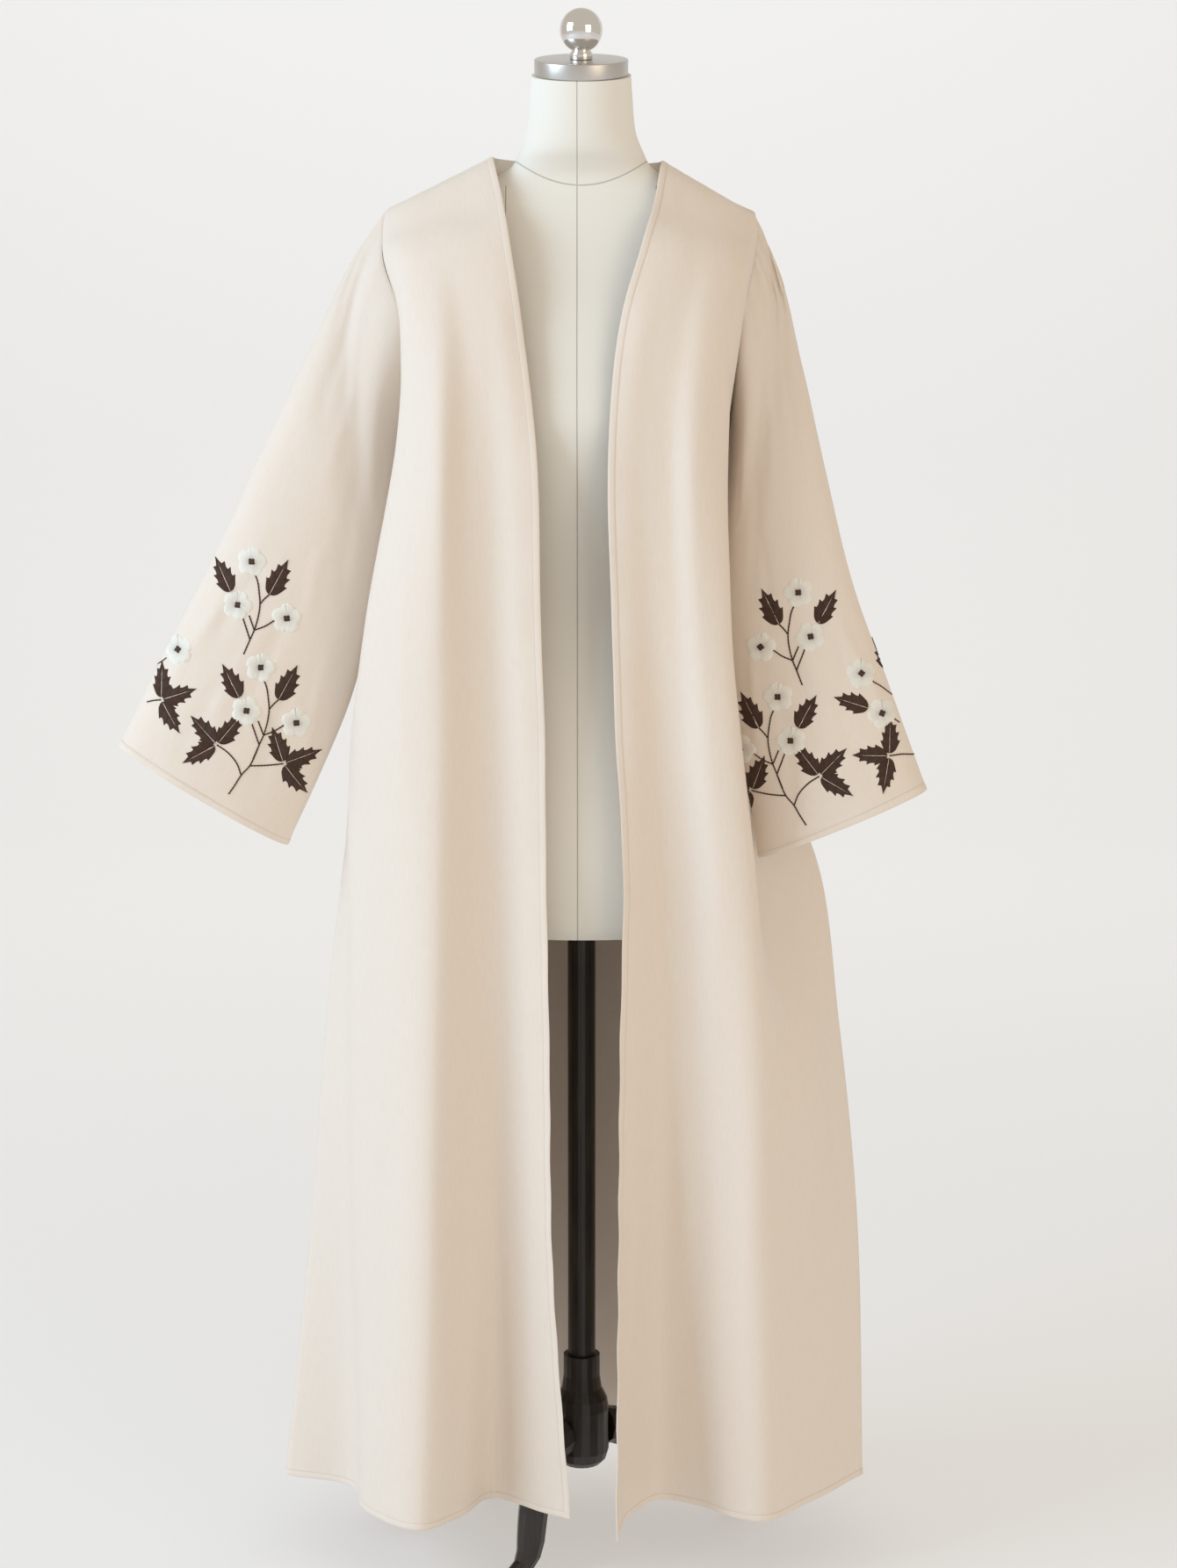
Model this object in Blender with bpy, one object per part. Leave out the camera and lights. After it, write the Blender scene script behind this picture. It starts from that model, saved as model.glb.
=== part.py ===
"""Open-front abaya cloak on a limbless dress form that stands on three wooden legs.

Metres, +Z up, the front towards -Y and +X to the viewer's right. The tables are in
millimetres from the stand's own axis; the finished model is then centred on the floor.
"""
import math

import bpy
import numpy as np

MM = 0.001
WALL = 1.6 * MM  # cloth thickness
SEAM_GAP = 0.4 * MM  # space left between two pieces at a seam
FIT_GAP = 0.3 * MM  # space left between hard pieces that touch
SHARP_ANGLE = math.radians(58)
VALLEY = 0.25  # cosine between two normals, under which a seam's edges keep their own

# Rows and columns of each cloth wall
ARMHOLE_ROWS = 12
SKIRT_ROWS = 17
FRONT_COLUMNS = 18
SHOULDER_COLUMNS = 7
NECK_COLUMNS = 12
SLEEVE_ROWS = 17
FINE_STEPS = 12  # steps of a section's curve for each column
SHOULDER_SPACING = 1.25  # above 1 the rows lie closer at the shoulder
HEAD_SPACING = 1.15  # above 1 the rings lie closer at the sleeve head

# Each row of a panel: its height at the first and the last place, then x and y there.
# The rows run from the shoulder seam down to the hem, and as far as the underarm
# their last place lies on the armhole.
ROW_NAMES = ("shoulder", "ridge", "yoke", "chest", "bust", "underarm", "waist", "hip", "seat",
             "thigh", "knee", "hem")
UNDERARM = ROW_NAMES.index("underarm")

# Places of a front: edge, lap, trough, rise, crest, fold, tuck, seam
LEFT_FRONT = {
    "shoulder": (1530, 1477, (-92, -108, -123, -139, -154, -170, -185, -201),
                 (0, 0, 0, 0, 0, 0, 0, 0)),
    "ridge": (1520, 1473, (-89, -106, -122, -138, -154, -171, -188, -204),
              (-24, -24, -23, -22, -20, -18, -14, -8)),
    "yoke": (1483, 1454, (-80, -97, -115, -134, -153, -172, -190, -206),
             (-58, -56, -53, -50, -46, -40, -31, -19)),
    "chest": (1440, 1418, (-72, -90, -110, -131, -154, -178, -194, -203),
              (-92, -92, -91, -88, -83, -74, -60, -40)),
    "bust": (1348, 1348, (-58, -78, -98, -119, -144, -180, -184, -178),
             (-118, -121, -119, -117, -119, -98, -74, -52)),
    "underarm": (1218, 1240, (-44, -66, -92, -116, -142, -189, -178, -162),
                 (-132, -131, -125, -127, -138, -90, -46, 4)),
    "waist": (1060, 1060, (-41, -64, -90, -114, -144, -220, -216, -199),
              (-131, -128, -118, -123, -140, -88, -42, 8)),
    "hip": (940, 940, (-37, -60, -87, -112, -146, -230, -241, -229),
            (-131, -126, -113, -120, -139, -90, -46, 10)),
    "seat": (795, 795, (-36, -58, -86, -112, -149, -230, -250, -256),
             (-130, -122, -106, -115, -138, -85, -34, 14)),
    "thigh": (605, 605, (-33, -56, -86, -113, -154, -231, -254, -279),
              (-128, -117, -96, -108, -137, -81, -27, 16)),
    "knee": (370, 370, (-30, -52, -88, -117, -161, -233, -256, -299),
             (-122, -106, -76, -97, -135, -77, -18, 20)),
    "hem": (90, 86, (-12, -46, -97, -130, -170, -234, -254, -331),
            (-104, -84, -44, -94, -131, -78, -8, 28)),
}
RIGHT_FRONT = {
    "shoulder": (1526, 1472, (84, 98, 111, 125, 138, 152, 165, 179),
                 (0, 0, 0, 0, 0, 0, 0, 0)),
    "ridge": (1516, 1468, (81, 96, 110, 124, 138, 153, 168, 182),
              (-24, -24, -23, -22, -20, -18, -14, -8)),
    "yoke": (1479, 1449, (74, 89, 104, 120, 137, 154, 170, 183),
             (-58, -56, -53, -50, -46, -40, -31, -19)),
    "chest": (1436, 1414, (61, 79, 98, 117, 137, 157, 171, 177),
              (-92, -92, -91, -87, -82, -73, -59, -40)),
    "bust": (1346, 1346, (37, 58, 80, 101, 124, 152, 163, 160),
             (-119, -122, -119, -116, -115, -99, -75, -52)),
    "underarm": (1215, 1240, (27, 46, 68, 90, 114, 144, 150, 152),
                 (-132, -131, -127, -126, -130, -108, -54, 4)),
    "waist": (1060, 1060, (31, 50, 72, 94, 120, 151, 139, 137),
              (-131, -128, -120, -121, -128, -114, -58, 8)),
    "hip": (940, 940, (35, 54, 78, 101, 130, 162, 154, 158),
            (-131, -126, -112, -114, -127, -117, -54, 26)),
    "seat": (795, 795, (43, 60, 84, 108, 142, 179, 172, 253),
             (-135, -124, -104, -106, -122, -114, -40, 50)),
    "thigh": (605, 605, (40, 56, 84, 112, 147, 187, 234, 282),
              (-135, -122, -95, -96, -112, -116, -55, 28)),
    "knee": (370, 370, (39, 53, 84, 118, 152, 192, 244, 305),
             (-138, -108, -72, -82, -102, -112, -56, 24)),
    "hem": (84, 88, (37, 49, 84, 128, 160, 198, 252, 313),
            (-150, -92, -42, -58, -90, -103, -50, 22)),
}
# Places of the back between its two sides: left arm, left neck, centre, right neck, right arm.
# The armhole rows also give the sides; below them the back meets the fronts' side seams.
BACK = {
    "ridge": (1473, 1521, (-204, -156, -91, -4, 83, 140, 182), (8, 22, 27, 74, 27, 22, 8)),
    "yoke": (1454, 1494, (-206, -160, -92, -4, 84, 146, 183), (19, 48, 66, 82, 66, 48, 19)),
    "chest": (1418, 1440, (-202, -162, -92, -3, 86, 148, 177), (42, 76, 98, 106, 98, 76, 42)),
    "bust": (1348, 1348, (-186, -156, -88, -2, 84, 142, 162), (60, 94, 114, 121, 114, 94, 58)),
    "underarm": (1240, 1218, (0, -156, -86, -2, 84, 142, 0), (0, 80, 122, 129, 122, 76, 0)),
    "waist": (1060, 1060, (0, -178, -94, -2, 92, 154, 0), (0, 92, 136, 144, 136, 90, 0)),
    "hip": (940, 940, (0, -206, -106, 0, 106, 182, 0), (0, 104, 150, 158, 150, 108, 0)),
    "seat": (795, 795, (0, -228, -118, 0, 118, 226, 0), (0, 116, 166, 174, 166, 128, 0)),
    "thigh": (605, 605, (0, -250, -130, 0, 130, 252, 0), (0, 130, 182, 190, 182, 132, 0)),
    "knee": (370, 370, (0, -270, -144, 0, 144, 272, 0), (0, 148, 202, 212, 202, 148, 0)),
    "hem": (86, 80, (0, -296, -158, 0, 158, 290, 0), (0, 168, 228, 238, 228, 166, 0)),
}
BACK_NECK_DROP = (70, 1526)  # y and z of the neckline at the centre back
BACK_FOLDS = 5
BACK_FOLD_DEPTH = 20 * MM  # at the hem, fading out at the waist
FOLD_TOP = 1.03
FOLD_GROWTH = 1.2
FOLD_DRIFT = 0.5  # makes the folds uneven
HEM_HEIGHT = 0.08
SIDE_REACH = 0.12  # share of the back's width that is drawn to each side seam

# Each row of a sleeve: outer rail x, y, z, inner rail x, y, z, depth in front, depth behind.
# Row 0 of a sleeve is its armhole, so these are the rows below it.
LEFT_SLEEVE = (
    (-239, -7, 1423, -190, 2, 1208, 46, 50),
    (-276, -14, 1347, -204, -2, 1130, 42, 42),
    (-332, -22, 1232, -223, -8, 1046, 38, 34),
    (-388, -29, 1113, -246, -14, 962, 37, 32),
    (-440, -35, 1015, -277, -24, 888, 37, 32),
    (-488, -40, 920, -312, -35, 813, 38, 33),
)
RIGHT_SLEEVE = (
    (208, -8, 1405, 154, 1, 1198, 44, 44),
    (231, -15, 1314, 149, -4, 1118, 40, 36),
    (256, -22, 1205, 151, -12, 1028, 37, 29),
    (286, -30, 1086, 162, -22, 940, 36, 28),
    (322, -37, 988, 177, -34, 868, 36, 27),
    (364, -45, 874, 187, -45, 801, 37, 28),
)
HEAD_SHARE = 0.42  # of a sleeve's length, over which the armhole's outline turns into an oval
OVAL_POWER = 0.9
START_DEPTHS = (0.05, 0.05)
CAP_GATHERS = {"left": 0.8 * MM, "right": 2.6 * MM}  # height of the gathers at the sleeve head
GATHER_COUNT = 5
GATHER_DEPTH = 0.3  # share of the ring, from the outer rail
GATHER_PLACE = 0.15  # share of the sleeve's length
GATHER_SPREAD = 0.08

# Rings of the dress form: height, half width, depth in front, depth behind
FORM_RINGS = (
    (720, 132, 90, 98), (740, 141, 96, 105), (810, 150, 101, 112), (880, 150, 100, 112),
    (960, 140, 94, 102), (1030, 124, 86, 90), (1090, 116, 82, 82), (1150, 120, 89, 82),
    (1210, 131, 103, 86), (1260, 141, 114, 90), (1310, 149, 108, 93), (1360, 156, 95, 93),
    (1400, 164, 78, 87), (1430, 170, 65, 76), (1455, 169, 54, 62), (1474, 159, 45, 50),
    (1488, 138, 36, 37), (1499, 111, 31, 31), (1510, 87, 31, 32), (1520, 72, 36, 38),
    (1535, 64, 46, 48), (1555, 56, 49, 51), (1582, 53, 49, 50), (1602, 51.5, 47, 48),
)
FORM_SIDES = 28
FORM_ROUNDNESS = 2.25

# Neck cap and finial, both square to the neck's sloping top
NECK_TOP = (0.0, 0.0, 1.6126)
NECK_ROOT = 1.535
NECK_SLOPE = math.radians(13)
CAP_RADIUS = 48.6 * MM
CAP_THICK = 16 * MM
CAP_EDGE = 1.2 * MM
CAP_SIDES = 48
BALL_RADIUS = 22.2 * MM
BALL_SIDES = 24
BALL_STEPS = 11
COLLAR_RADIUS = 12 * MM
COLLAR_TOP_RADIUS = 9.6 * MM
COLLAR_SIDE = 6.8 * MM
COLLAR_HEIGHT = 9 * MM

# Stand
POLE_RADIUS = 15 * MM
POLE_SIDES = 24
POLE_FOOT = 238.3 * MM
HUB = ((0, 112), (21, 113), (27, 119), (30, 129), (30, 176), (28, 188), (22, 200), (20, 214), (20, 238),
       (0, 238))
HUB_SIDES = 20
# Legs: reach from the axis and height, half width; the front one drops straight, the rear ones slant
FRONT_LEG_LINE = ((30.3, 150), (43, 146), (53, 134), (60, 117), (66, 102), (72, 84), (75.5, 62), (78, 42),
                  (82.5, 26), (92, 15.5), (110, 10.5), (140, 9), (175, 8.5), (208, 8.5), (224, 0))
FRONT_LEG_HALF_WIDTHS = (21, 20.5, 20, 18.5, 17.5, 16.8, 16.2, 15.4, 13.2, 10.8, 8.6, 7.5, 7, 7, 10)
REAR_LEG_LINE = ((30.3, 150), (45, 146), (62, 136), (82, 120), (104, 101), (128, 80), (152, 59), (176, 39),
                 (198, 22), (214, 11), (224, 0))
REAR_LEG_HALF_WIDTHS = (21, 20.5, 20, 19, 18, 17, 15.5, 14, 12.5, 10.5, 10)
# Each leg's azimuth in degrees from the front, to the right, its line and its half widths
LEGS = {
    "leg_front": (-46, FRONT_LEG_LINE, FRONT_LEG_HALF_WIDTHS),
    "leg_back_left": (-150, REAR_LEG_LINE, REAR_LEG_HALF_WIDTHS),
    "leg_back_right": (125, REAR_LEG_LINE, REAR_LEG_HALF_WIDTHS),
}
LEG_STEPS = 19
LEG_SIDES = 10


def through(knots, values, at):
    """A smooth curve that passes through values at knots, read at the places in at."""
    knots = np.asarray(knots, float)
    at = np.asarray(at, float)
    values = np.asarray(values, float)
    flat = values.reshape(len(knots), -1)
    steps = np.diff(knots)[:, None]
    slopes = np.diff(flat, axis=0) / steps
    tangents = np.empty_like(flat)
    tangents[0] = slopes[0]
    tangents[-1] = slopes[-1]
    tangents[1:-1] = (slopes[:-1] * steps[1:] + slopes[1:] * steps[:-1]) / (steps[1:] + steps[:-1])
    seat = np.clip(np.searchsorted(knots, at, side="right") - 1, 0, len(knots) - 2)
    step = steps[seat]
    t = ((at - knots[seat]) / step[:, 0])[:, None]
    found = ((2 * t ** 3 - 3 * t ** 2 + 1) * flat[seat] + (t ** 3 - 2 * t ** 2 + t) * step * tangents[seat]
             + (3 * t ** 2 - 2 * t ** 3) * flat[seat + 1] + (t ** 3 - t ** 2) * step * tangents[seat + 1])
    return found.reshape((len(at),) + values.shape[1:])


def smooth_step(t):
    t = np.clip(t, 0, 1)
    return t * t * (3 - 2 * t)


def row_places():
    """Places of the fine rows, counted in rows of the tables; they lie closer at the shoulder."""
    upper = UNDERARM * (np.arange(ARMHOLE_ROWS) / ARMHOLE_ROWS) ** SHOULDER_SPACING
    lower = UNDERARM + (len(ROW_NAMES) - 1 - UNDERARM) * np.linspace(0, 1, SKIRT_ROWS + 1)
    return np.concatenate([upper, lower])


def table_points(table, names, mirrored=False):
    """Each row of a table as points in metres; a mirrored row reaches its last height midway."""
    rows = []
    for name in names:
        first, last, x, y = table[name]
        share = np.linspace(0, 1, len(x))
        if mirrored:
            share = 1 - abs(2 * share - 1)
        rows.append(np.column_stack([x, y, first + (last - first) * share]))
    return np.array(rows) * MM


def across(row, columns):
    """A row's places joined by a smooth curve and spaced evenly along it."""
    lengths = np.linalg.norm(np.diff(row, axis=0), axis=1)
    knots = np.concatenate([[0], np.cumsum(np.sqrt(lengths))])
    fine = through(knots, row, np.linspace(0, knots[-1], FINE_STEPS * columns + 1))
    along = np.concatenate([[0], np.cumsum(np.linalg.norm(np.diff(fine, axis=0), axis=1))])
    even = np.linspace(0, along[-1], columns + 1)
    return np.column_stack([np.interp(even, along, fine[:, axis]) for axis in range(3)])


def front_surface(table):
    """Rows of points from the front edge to the armhole or side seam."""
    rows = through(range(len(ROW_NAMES)), table_points(table, ROW_NAMES), row_places())
    grid = np.array([across(row, FRONT_COLUMNS) for row in rows])
    grid[0] = np.linspace(grid[0, 0], grid[0, -1], FRONT_COLUMNS + 1)
    return grid


def back_top(left_front, right_front):
    """The back's top edge: a shoulder seam, the neckline and the other shoulder seam."""
    left_tip, left_neck = left_front[0, -1], left_front[0, 0]
    right_tip, right_neck = right_front[0, -1], right_front[0, 0]
    drop = np.array(BACK_NECK_DROP) * MM
    turn = np.linspace(0, math.pi, NECK_COLUMNS + 1)
    middle = (left_neck + right_neck) / 2
    neckline = np.column_stack([
        middle[0] + (left_neck[0] - right_neck[0]) / 2 * np.cos(turn),
        drop[0] * np.sin(turn) ** 0.8,
        middle[2] + (left_neck[2] - right_neck[2]) / 2 * np.cos(turn)
        + (drop[1] - middle[2]) * np.sin(turn) ** 2])
    left = np.linspace(left_tip, left_neck, SHOULDER_COLUMNS + 1)
    right = np.linspace(right_neck, right_tip, SHOULDER_COLUMNS + 1)
    return np.concatenate([left[:-1], neckline, right[1:]])


def back_surface(left_front, right_front):
    """Rows of points from the left side to the right side."""
    columns = 2 * SHOULDER_COLUMNS + NECK_COLUMNS
    top = back_top(left_front, right_front)
    knots = np.array([0, 0.5 * SHOULDER_COLUMNS, SHOULDER_COLUMNS + 1, columns / 2,
                      columns - SHOULDER_COLUMNS - 1, columns - 0.5 * SHOULDER_COLUMNS, columns])
    places = table_points(BACK, ROW_NAMES[1:], mirrored=True)
    for name, row in zip(ROW_NAMES[1:], places):
        if ROW_NAMES.index(name) >= UNDERARM:
            at = int(np.argmin(abs(row_places() - ROW_NAMES.index(name))))
            row[0] = left_front[at, -1]
            row[-1] = right_front[at, -1]
    sections = np.array([through(knots, row, range(columns + 1)) for row in places])
    sections = np.concatenate([top[None], sections])
    grid = through(range(len(ROW_NAMES)), sections, row_places())
    grid[0] = top
    skirt = slice(ARMHOLE_ROWS, None)
    grid[skirt] = fold_back(grid[skirt], left_front[skirt, -1], right_front[skirt, -1])
    return grid


def fold_back(grid, left_seam, right_seam):
    """Carries the sides on to the seams, and waves the cloth in soft folds that grow to the hem."""
    share = np.linspace(0, 1, grid.shape[1])
    from_left = smooth_step(share / SIDE_REACH)[None, :, None]
    grid = grid + (left_seam - grid[:, 0])[:, None] * (1 - from_left)
    from_right = smooth_step((1 - share) / SIDE_REACH)[None, :, None]
    grid = grid + (right_seam - grid[:, -1])[:, None] * (1 - from_right)
    growth = np.clip((FOLD_TOP - grid[..., 2]) / (FOLD_TOP - HEM_HEIGHT), 0, 1) ** FOLD_GROWTH
    wave = np.cos(2 * math.pi * BACK_FOLDS * share + FOLD_DRIFT * np.sin(4 * math.pi * share))
    wave = wave * np.sin(math.pi * share) ** 0.5
    away = np.stack([-np.cos(math.pi * share), np.sin(math.pi * share) + 0.35, 0 * share], axis=1)
    away = away / np.linalg.norm(away, axis=1)[:, None]
    return grid + (BACK_FOLD_DEPTH * growth * wave[None])[..., None] * away[None]


def armhole_loop(front, back_side):
    """The armhole, from the shoulder tip down the front to the underarm and up the back."""
    ahead = front[:ARMHOLE_ROWS + 1, -1]
    behind = back_side[1:ARMHOLE_ROWS][::-1]
    return np.concatenate([ahead, behind])


def sleeve_surface(loop, table, gather):
    """Rings of points from the armhole down to the cuff."""
    tip, pit = loop[0], loop[ARMHOLE_ROWS]
    rails = np.array(table, float) * MM
    start = np.concatenate([tip, pit, START_DEPTHS])
    rails = np.concatenate([start[None], rails])
    steps = np.linalg.norm(np.diff(rails[:, :3], axis=0), axis=1)
    knots = np.concatenate([[0], np.cumsum(steps)])
    at = knots[-1] * np.linspace(0, 1, SLEEVE_ROWS + 1) ** HEAD_SPACING
    rails = through(knots, rails, at)
    turn = np.arange(len(loop)) * 2 * math.pi / len(loop)
    chord = pit - tip
    length = np.linalg.norm(chord)
    out = np.cross([0, 1, 0], chord / length)
    level = np.array([0.0, 1.0, 0.0])
    own = loop - tip
    own_along = own @ chord / length ** 2
    own_depth = own @ level - own_along * chord[1]
    own_out = own @ out
    rings = [loop]
    for index in range(1, SLEEVE_ROWS + 1):
        outer, inner, ahead, behind = np.split(rails[index], [3, 6, 7])
        share = index / SLEEVE_ROWS
        blend = float(smooth_step(share / HEAD_SHARE))
        along = own_along * (1 - blend) + (1 - np.cos(turn)) / 2 * blend
        deep = np.where(turn < math.pi, ahead[0], behind[0])
        round_depth = -deep * np.sign(np.sin(turn)) * abs(np.sin(turn)) ** OVAL_POWER
        depth = own_depth * (1 - blend) + round_depth * blend
        side = inner - outer
        aside = np.cross(level, side / np.linalg.norm(side))
        ring = outer + along[:, None] * side + depth[:, None] * level
        ring = ring + (own_out * (1 - blend))[:, None] * aside
        near_head = np.clip(1 - along / GATHER_DEPTH, 0, 1)
        near_head = near_head * math.exp(-((share - GATHER_PLACE) / GATHER_SPREAD) ** 2)
        pleat = np.cos(2 * GATHER_COUNT * turn) * near_head * gather
        rings.append(ring + pleat[:, None] * np.array([0, -1, 0]) * np.sign(math.pi - turn)[:, None])
    return np.array(rings)


def surface_normals(grid, closed=False):
    """Unit normals at the points of a grid of rows and columns."""
    down = np.gradient(grid, axis=0)
    if closed:
        over = np.roll(grid, -1, axis=1) - np.roll(grid, 1, axis=1)
    else:
        over = np.gradient(grid, axis=1)
    normals = np.cross(over, down)
    return normals / np.linalg.norm(normals, axis=2, keepdims=True)


def unit(vector):
    return vector / np.linalg.norm(vector)


def down_side(piece, side, rows):
    """Places down one side of a piece, each with its neighbour inside the piece."""
    beside = 1 if side == 0 else -2
    return [(piece, (i, side), (i, beside)) for i in rows]


def round_head(piece, places):
    """Places round the top ring of a sleeve, each with its neighbour below."""
    return [(piece, (0, j), (1, j)) for j in places]


def join(ones, others):
    """Moves two edges that meet apart, and ties their normals except in a tight valley."""
    line = np.array([one["grid"][place] for one, place, _ in ones])
    along = np.gradient(line, axis=0)
    for k, ((one, place, within), (other, meets, inside)) in enumerate(zip(ones, others)):
        mean = unit(one["outward"][place] + other["outward"][meets])
        rise = (one["grid"][within] + other["grid"][inside] - 2 * line[k]) @ mean
        if rise < 0 or one["outward"][place] @ other["outward"][meets] > VALLEY:
            one["outward"][place] = mean
            other["outward"][meets] = mean
        aside = unit(np.cross(along[k], mean))
        toward = one["grid"][within] - other["grid"][inside]
        aside = aside * np.sign(aside @ toward) * SEAM_GAP / 2
        one["shift"][place] += aside
        other["shift"][meets] -= aside


def add_mesh(name, points, faces):
    mesh = bpy.data.meshes.new(name)
    mesh.from_pydata([tuple(point) for point in points], [], faces)
    mesh.update()
    obj = bpy.data.objects.new(name, mesh)
    bpy.context.scene.collection.objects.link(obj)
    mesh.shade_smooth()
    mesh.set_sharp_from_angle(angle=SHARP_ANGLE)
    return obj


def cloth_wall(name, piece, closed=False):
    """A thin closed wall inside a grid of outer points."""
    grid = piece["grid"]
    outer = grid + piece["shift"]
    inner = outer - piece["outward"] * WALL
    rows, columns = grid.shape[:2]
    points = np.concatenate([outer.reshape(-1, 3), inner.reshape(-1, 3)])
    back = rows * columns
    faces = []
    turns = columns if closed else columns - 1
    for i in range(rows - 1):
        for j in range(turns):
            k = (j + 1) % columns
            a, b, c, d = i * columns + j, i * columns + k, (i + 1) * columns + k, (i + 1) * columns + j
            faces.append((a, d, c, b))
            faces.append((back + a, back + b, back + c, back + d))
    rims = []
    if closed:
        rims.append(list(range(columns)) + [0])
        rims.append([(rows - 1) * columns + j for j in reversed(range(columns))] + [rows * columns - 1])
    else:
        edge = list(range(columns))
        edge += [i * columns + columns - 1 for i in range(1, rows)]
        edge += [(rows - 1) * columns + j for j in reversed(range(columns - 1))]
        edge += [i * columns for i in reversed(range(rows - 1))]
        rims.append(edge)
    for rim in rims:
        for a, b in zip(rim, rim[1:]):
            if points[a][2] > points[b][2]:
                faces += [(a, b, back + b), (a, back + b, back + a)]
            else:
                faces += [(a, b, back + a), (b, back + b, back + a)]
    if (surface_normals(grid, closed) * piece["outward"]).sum() > 0:
        faces = [face[::-1] for face in faces]
    return add_mesh(name, points, faces)


def piece_of(grid, turn, closed=False):
    """A piece's grid with its outward normals, and no shift yet."""
    normals = turn * surface_normals(grid, closed)
    return {"grid": grid, "outward": normals, "shift": np.zeros_like(grid)}


def build_cloth():
    """The five pieces of the cloak: two fronts, the back and two sleeves."""
    left = front_surface(LEFT_FRONT)
    right = front_surface(RIGHT_FRONT)
    back = back_surface(left, right)
    left_loop = armhole_loop(left, back[:, 0])
    right_loop = armhole_loop(right, back[:, -1])
    pieces = {
        "front_left": piece_of(left, 1),
        "front_right": piece_of(right, -1),
        "back": piece_of(back, 1),
        "sleeve_left": piece_of(sleeve_surface(left_loop, LEFT_SLEEVE, CAP_GATHERS["left"]), -1, True),
        "sleeve_right": piece_of(sleeve_surface(right_loop, RIGHT_SLEEVE, CAP_GATHERS["right"]), 1, True),
    }
    back = pieces["back"]
    shoulders = {0: slice(0, SHOULDER_COLUMNS + 1), -1: slice(-SHOULDER_COLUMNS - 1, None)}
    armhole = range(ARMHOLE_ROWS + 1)
    for side, name in ((0, "left"), (-1, "right")):
        front = pieces["front_" + name]
        sleeve = pieces["sleeve_" + name]
        slope = front["grid"][0, -1] - front["grid"][0, 0]
        upward = unit(np.array([-slope[2], 0, slope[0]]) * np.sign(slope[0]))
        join(down_side(front, -1, range(ARMHOLE_ROWS, len(left))),
             down_side(back, side, range(ARMHOLE_ROWS, len(left))))
        for normals, places in ((front["outward"], (0, slice(None))), (back["outward"], (0, shoulders[side])),
                                (sleeve["outward"], (0, 0))):
            normals[places] = upward
        join(down_side(front, -1, armhole), round_head(sleeve, armhole))
        join(down_side(back, side, armhole), round_head(sleeve, [-i for i in armhole]))
        front["outward"][ARMHOLE_ROWS, -1] = back["outward"][ARMHOLE_ROWS, side]
        front["shift"][0, :, 1] -= SEAM_GAP / 2
        back["shift"][0, shoulders[side], 1] += SEAM_GAP / 2
    return [cloth_wall(name, piece, name.startswith("sleeve")) for name, piece in pieces.items()]


def rings_solid(name, rings):
    """A closed solid through rings of points, with a flat face at each end."""
    count = len(rings[0])
    points = np.concatenate(rings)
    faces = [tuple(reversed(range(count)))]
    for ring in range(len(rings) - 1):
        for j in range(count):
            k = (j + 1) % count
            faces.append((ring * count + j, ring * count + k, (ring + 1) * count + k, (ring + 1) * count + j))
    faces.append(tuple((len(rings) - 1) * count + j for j in range(count)))
    return add_mesh(name, points, faces)


def build_form():
    """The covered torso and neck, with a neck top that slopes to the front."""
    heights = np.array([ring[0] for ring in FORM_RINGS]) * MM
    turn = np.arange(FORM_SIDES) * 2 * math.pi / FORM_SIDES
    power = 2 / FORM_ROUNDNESS
    rings = []
    for height, width, ahead, behind in np.array(FORM_RINGS) * MM:
        across_x = width * np.sign(np.cos(turn)) * abs(np.cos(turn)) ** power
        depth = np.where(np.sin(turn) > 0, behind, ahead)
        deep_y = depth * np.sign(np.sin(turn)) * abs(np.sin(turn)) ** power
        lean = smooth_step((height - NECK_ROOT) / (heights[-1] - NECK_ROOT))
        tilt = lean * math.tan(NECK_SLOPE) * deep_y
        top = NECK_TOP[2] - FIT_GAP - heights[-1]
        rings.append(np.column_stack([across_x, deep_y, height + tilt + lean * top]))
    return rings_solid("form_torso", rings)


def turned(name, profile, sides):
    """A closed solid turned round Z from points of radius and height, bottom to top."""
    turn = np.arange(sides) * 2 * math.pi / sides
    points, faces, rings = [], [], []
    for radius, height in profile:
        if radius == 0:
            rings.append([len(points)])
            points.append((0, 0, height))
        else:
            rings.append(list(range(len(points), len(points) + sides)))
            points.extend((radius * math.cos(a), radius * math.sin(a), height) for a in turn)
    for low, high in zip(rings, rings[1:]):
        for j in range(sides):
            k = (j + 1) % sides
            if len(low) == 1:
                faces.append((low[0], high[k], high[j]))
            elif len(high) == 1:
                faces.append((low[j], low[k], high[0]))
            else:
                faces.append((low[j], low[k], high[k], high[j]))
    return add_mesh(name, points, faces)


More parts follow.
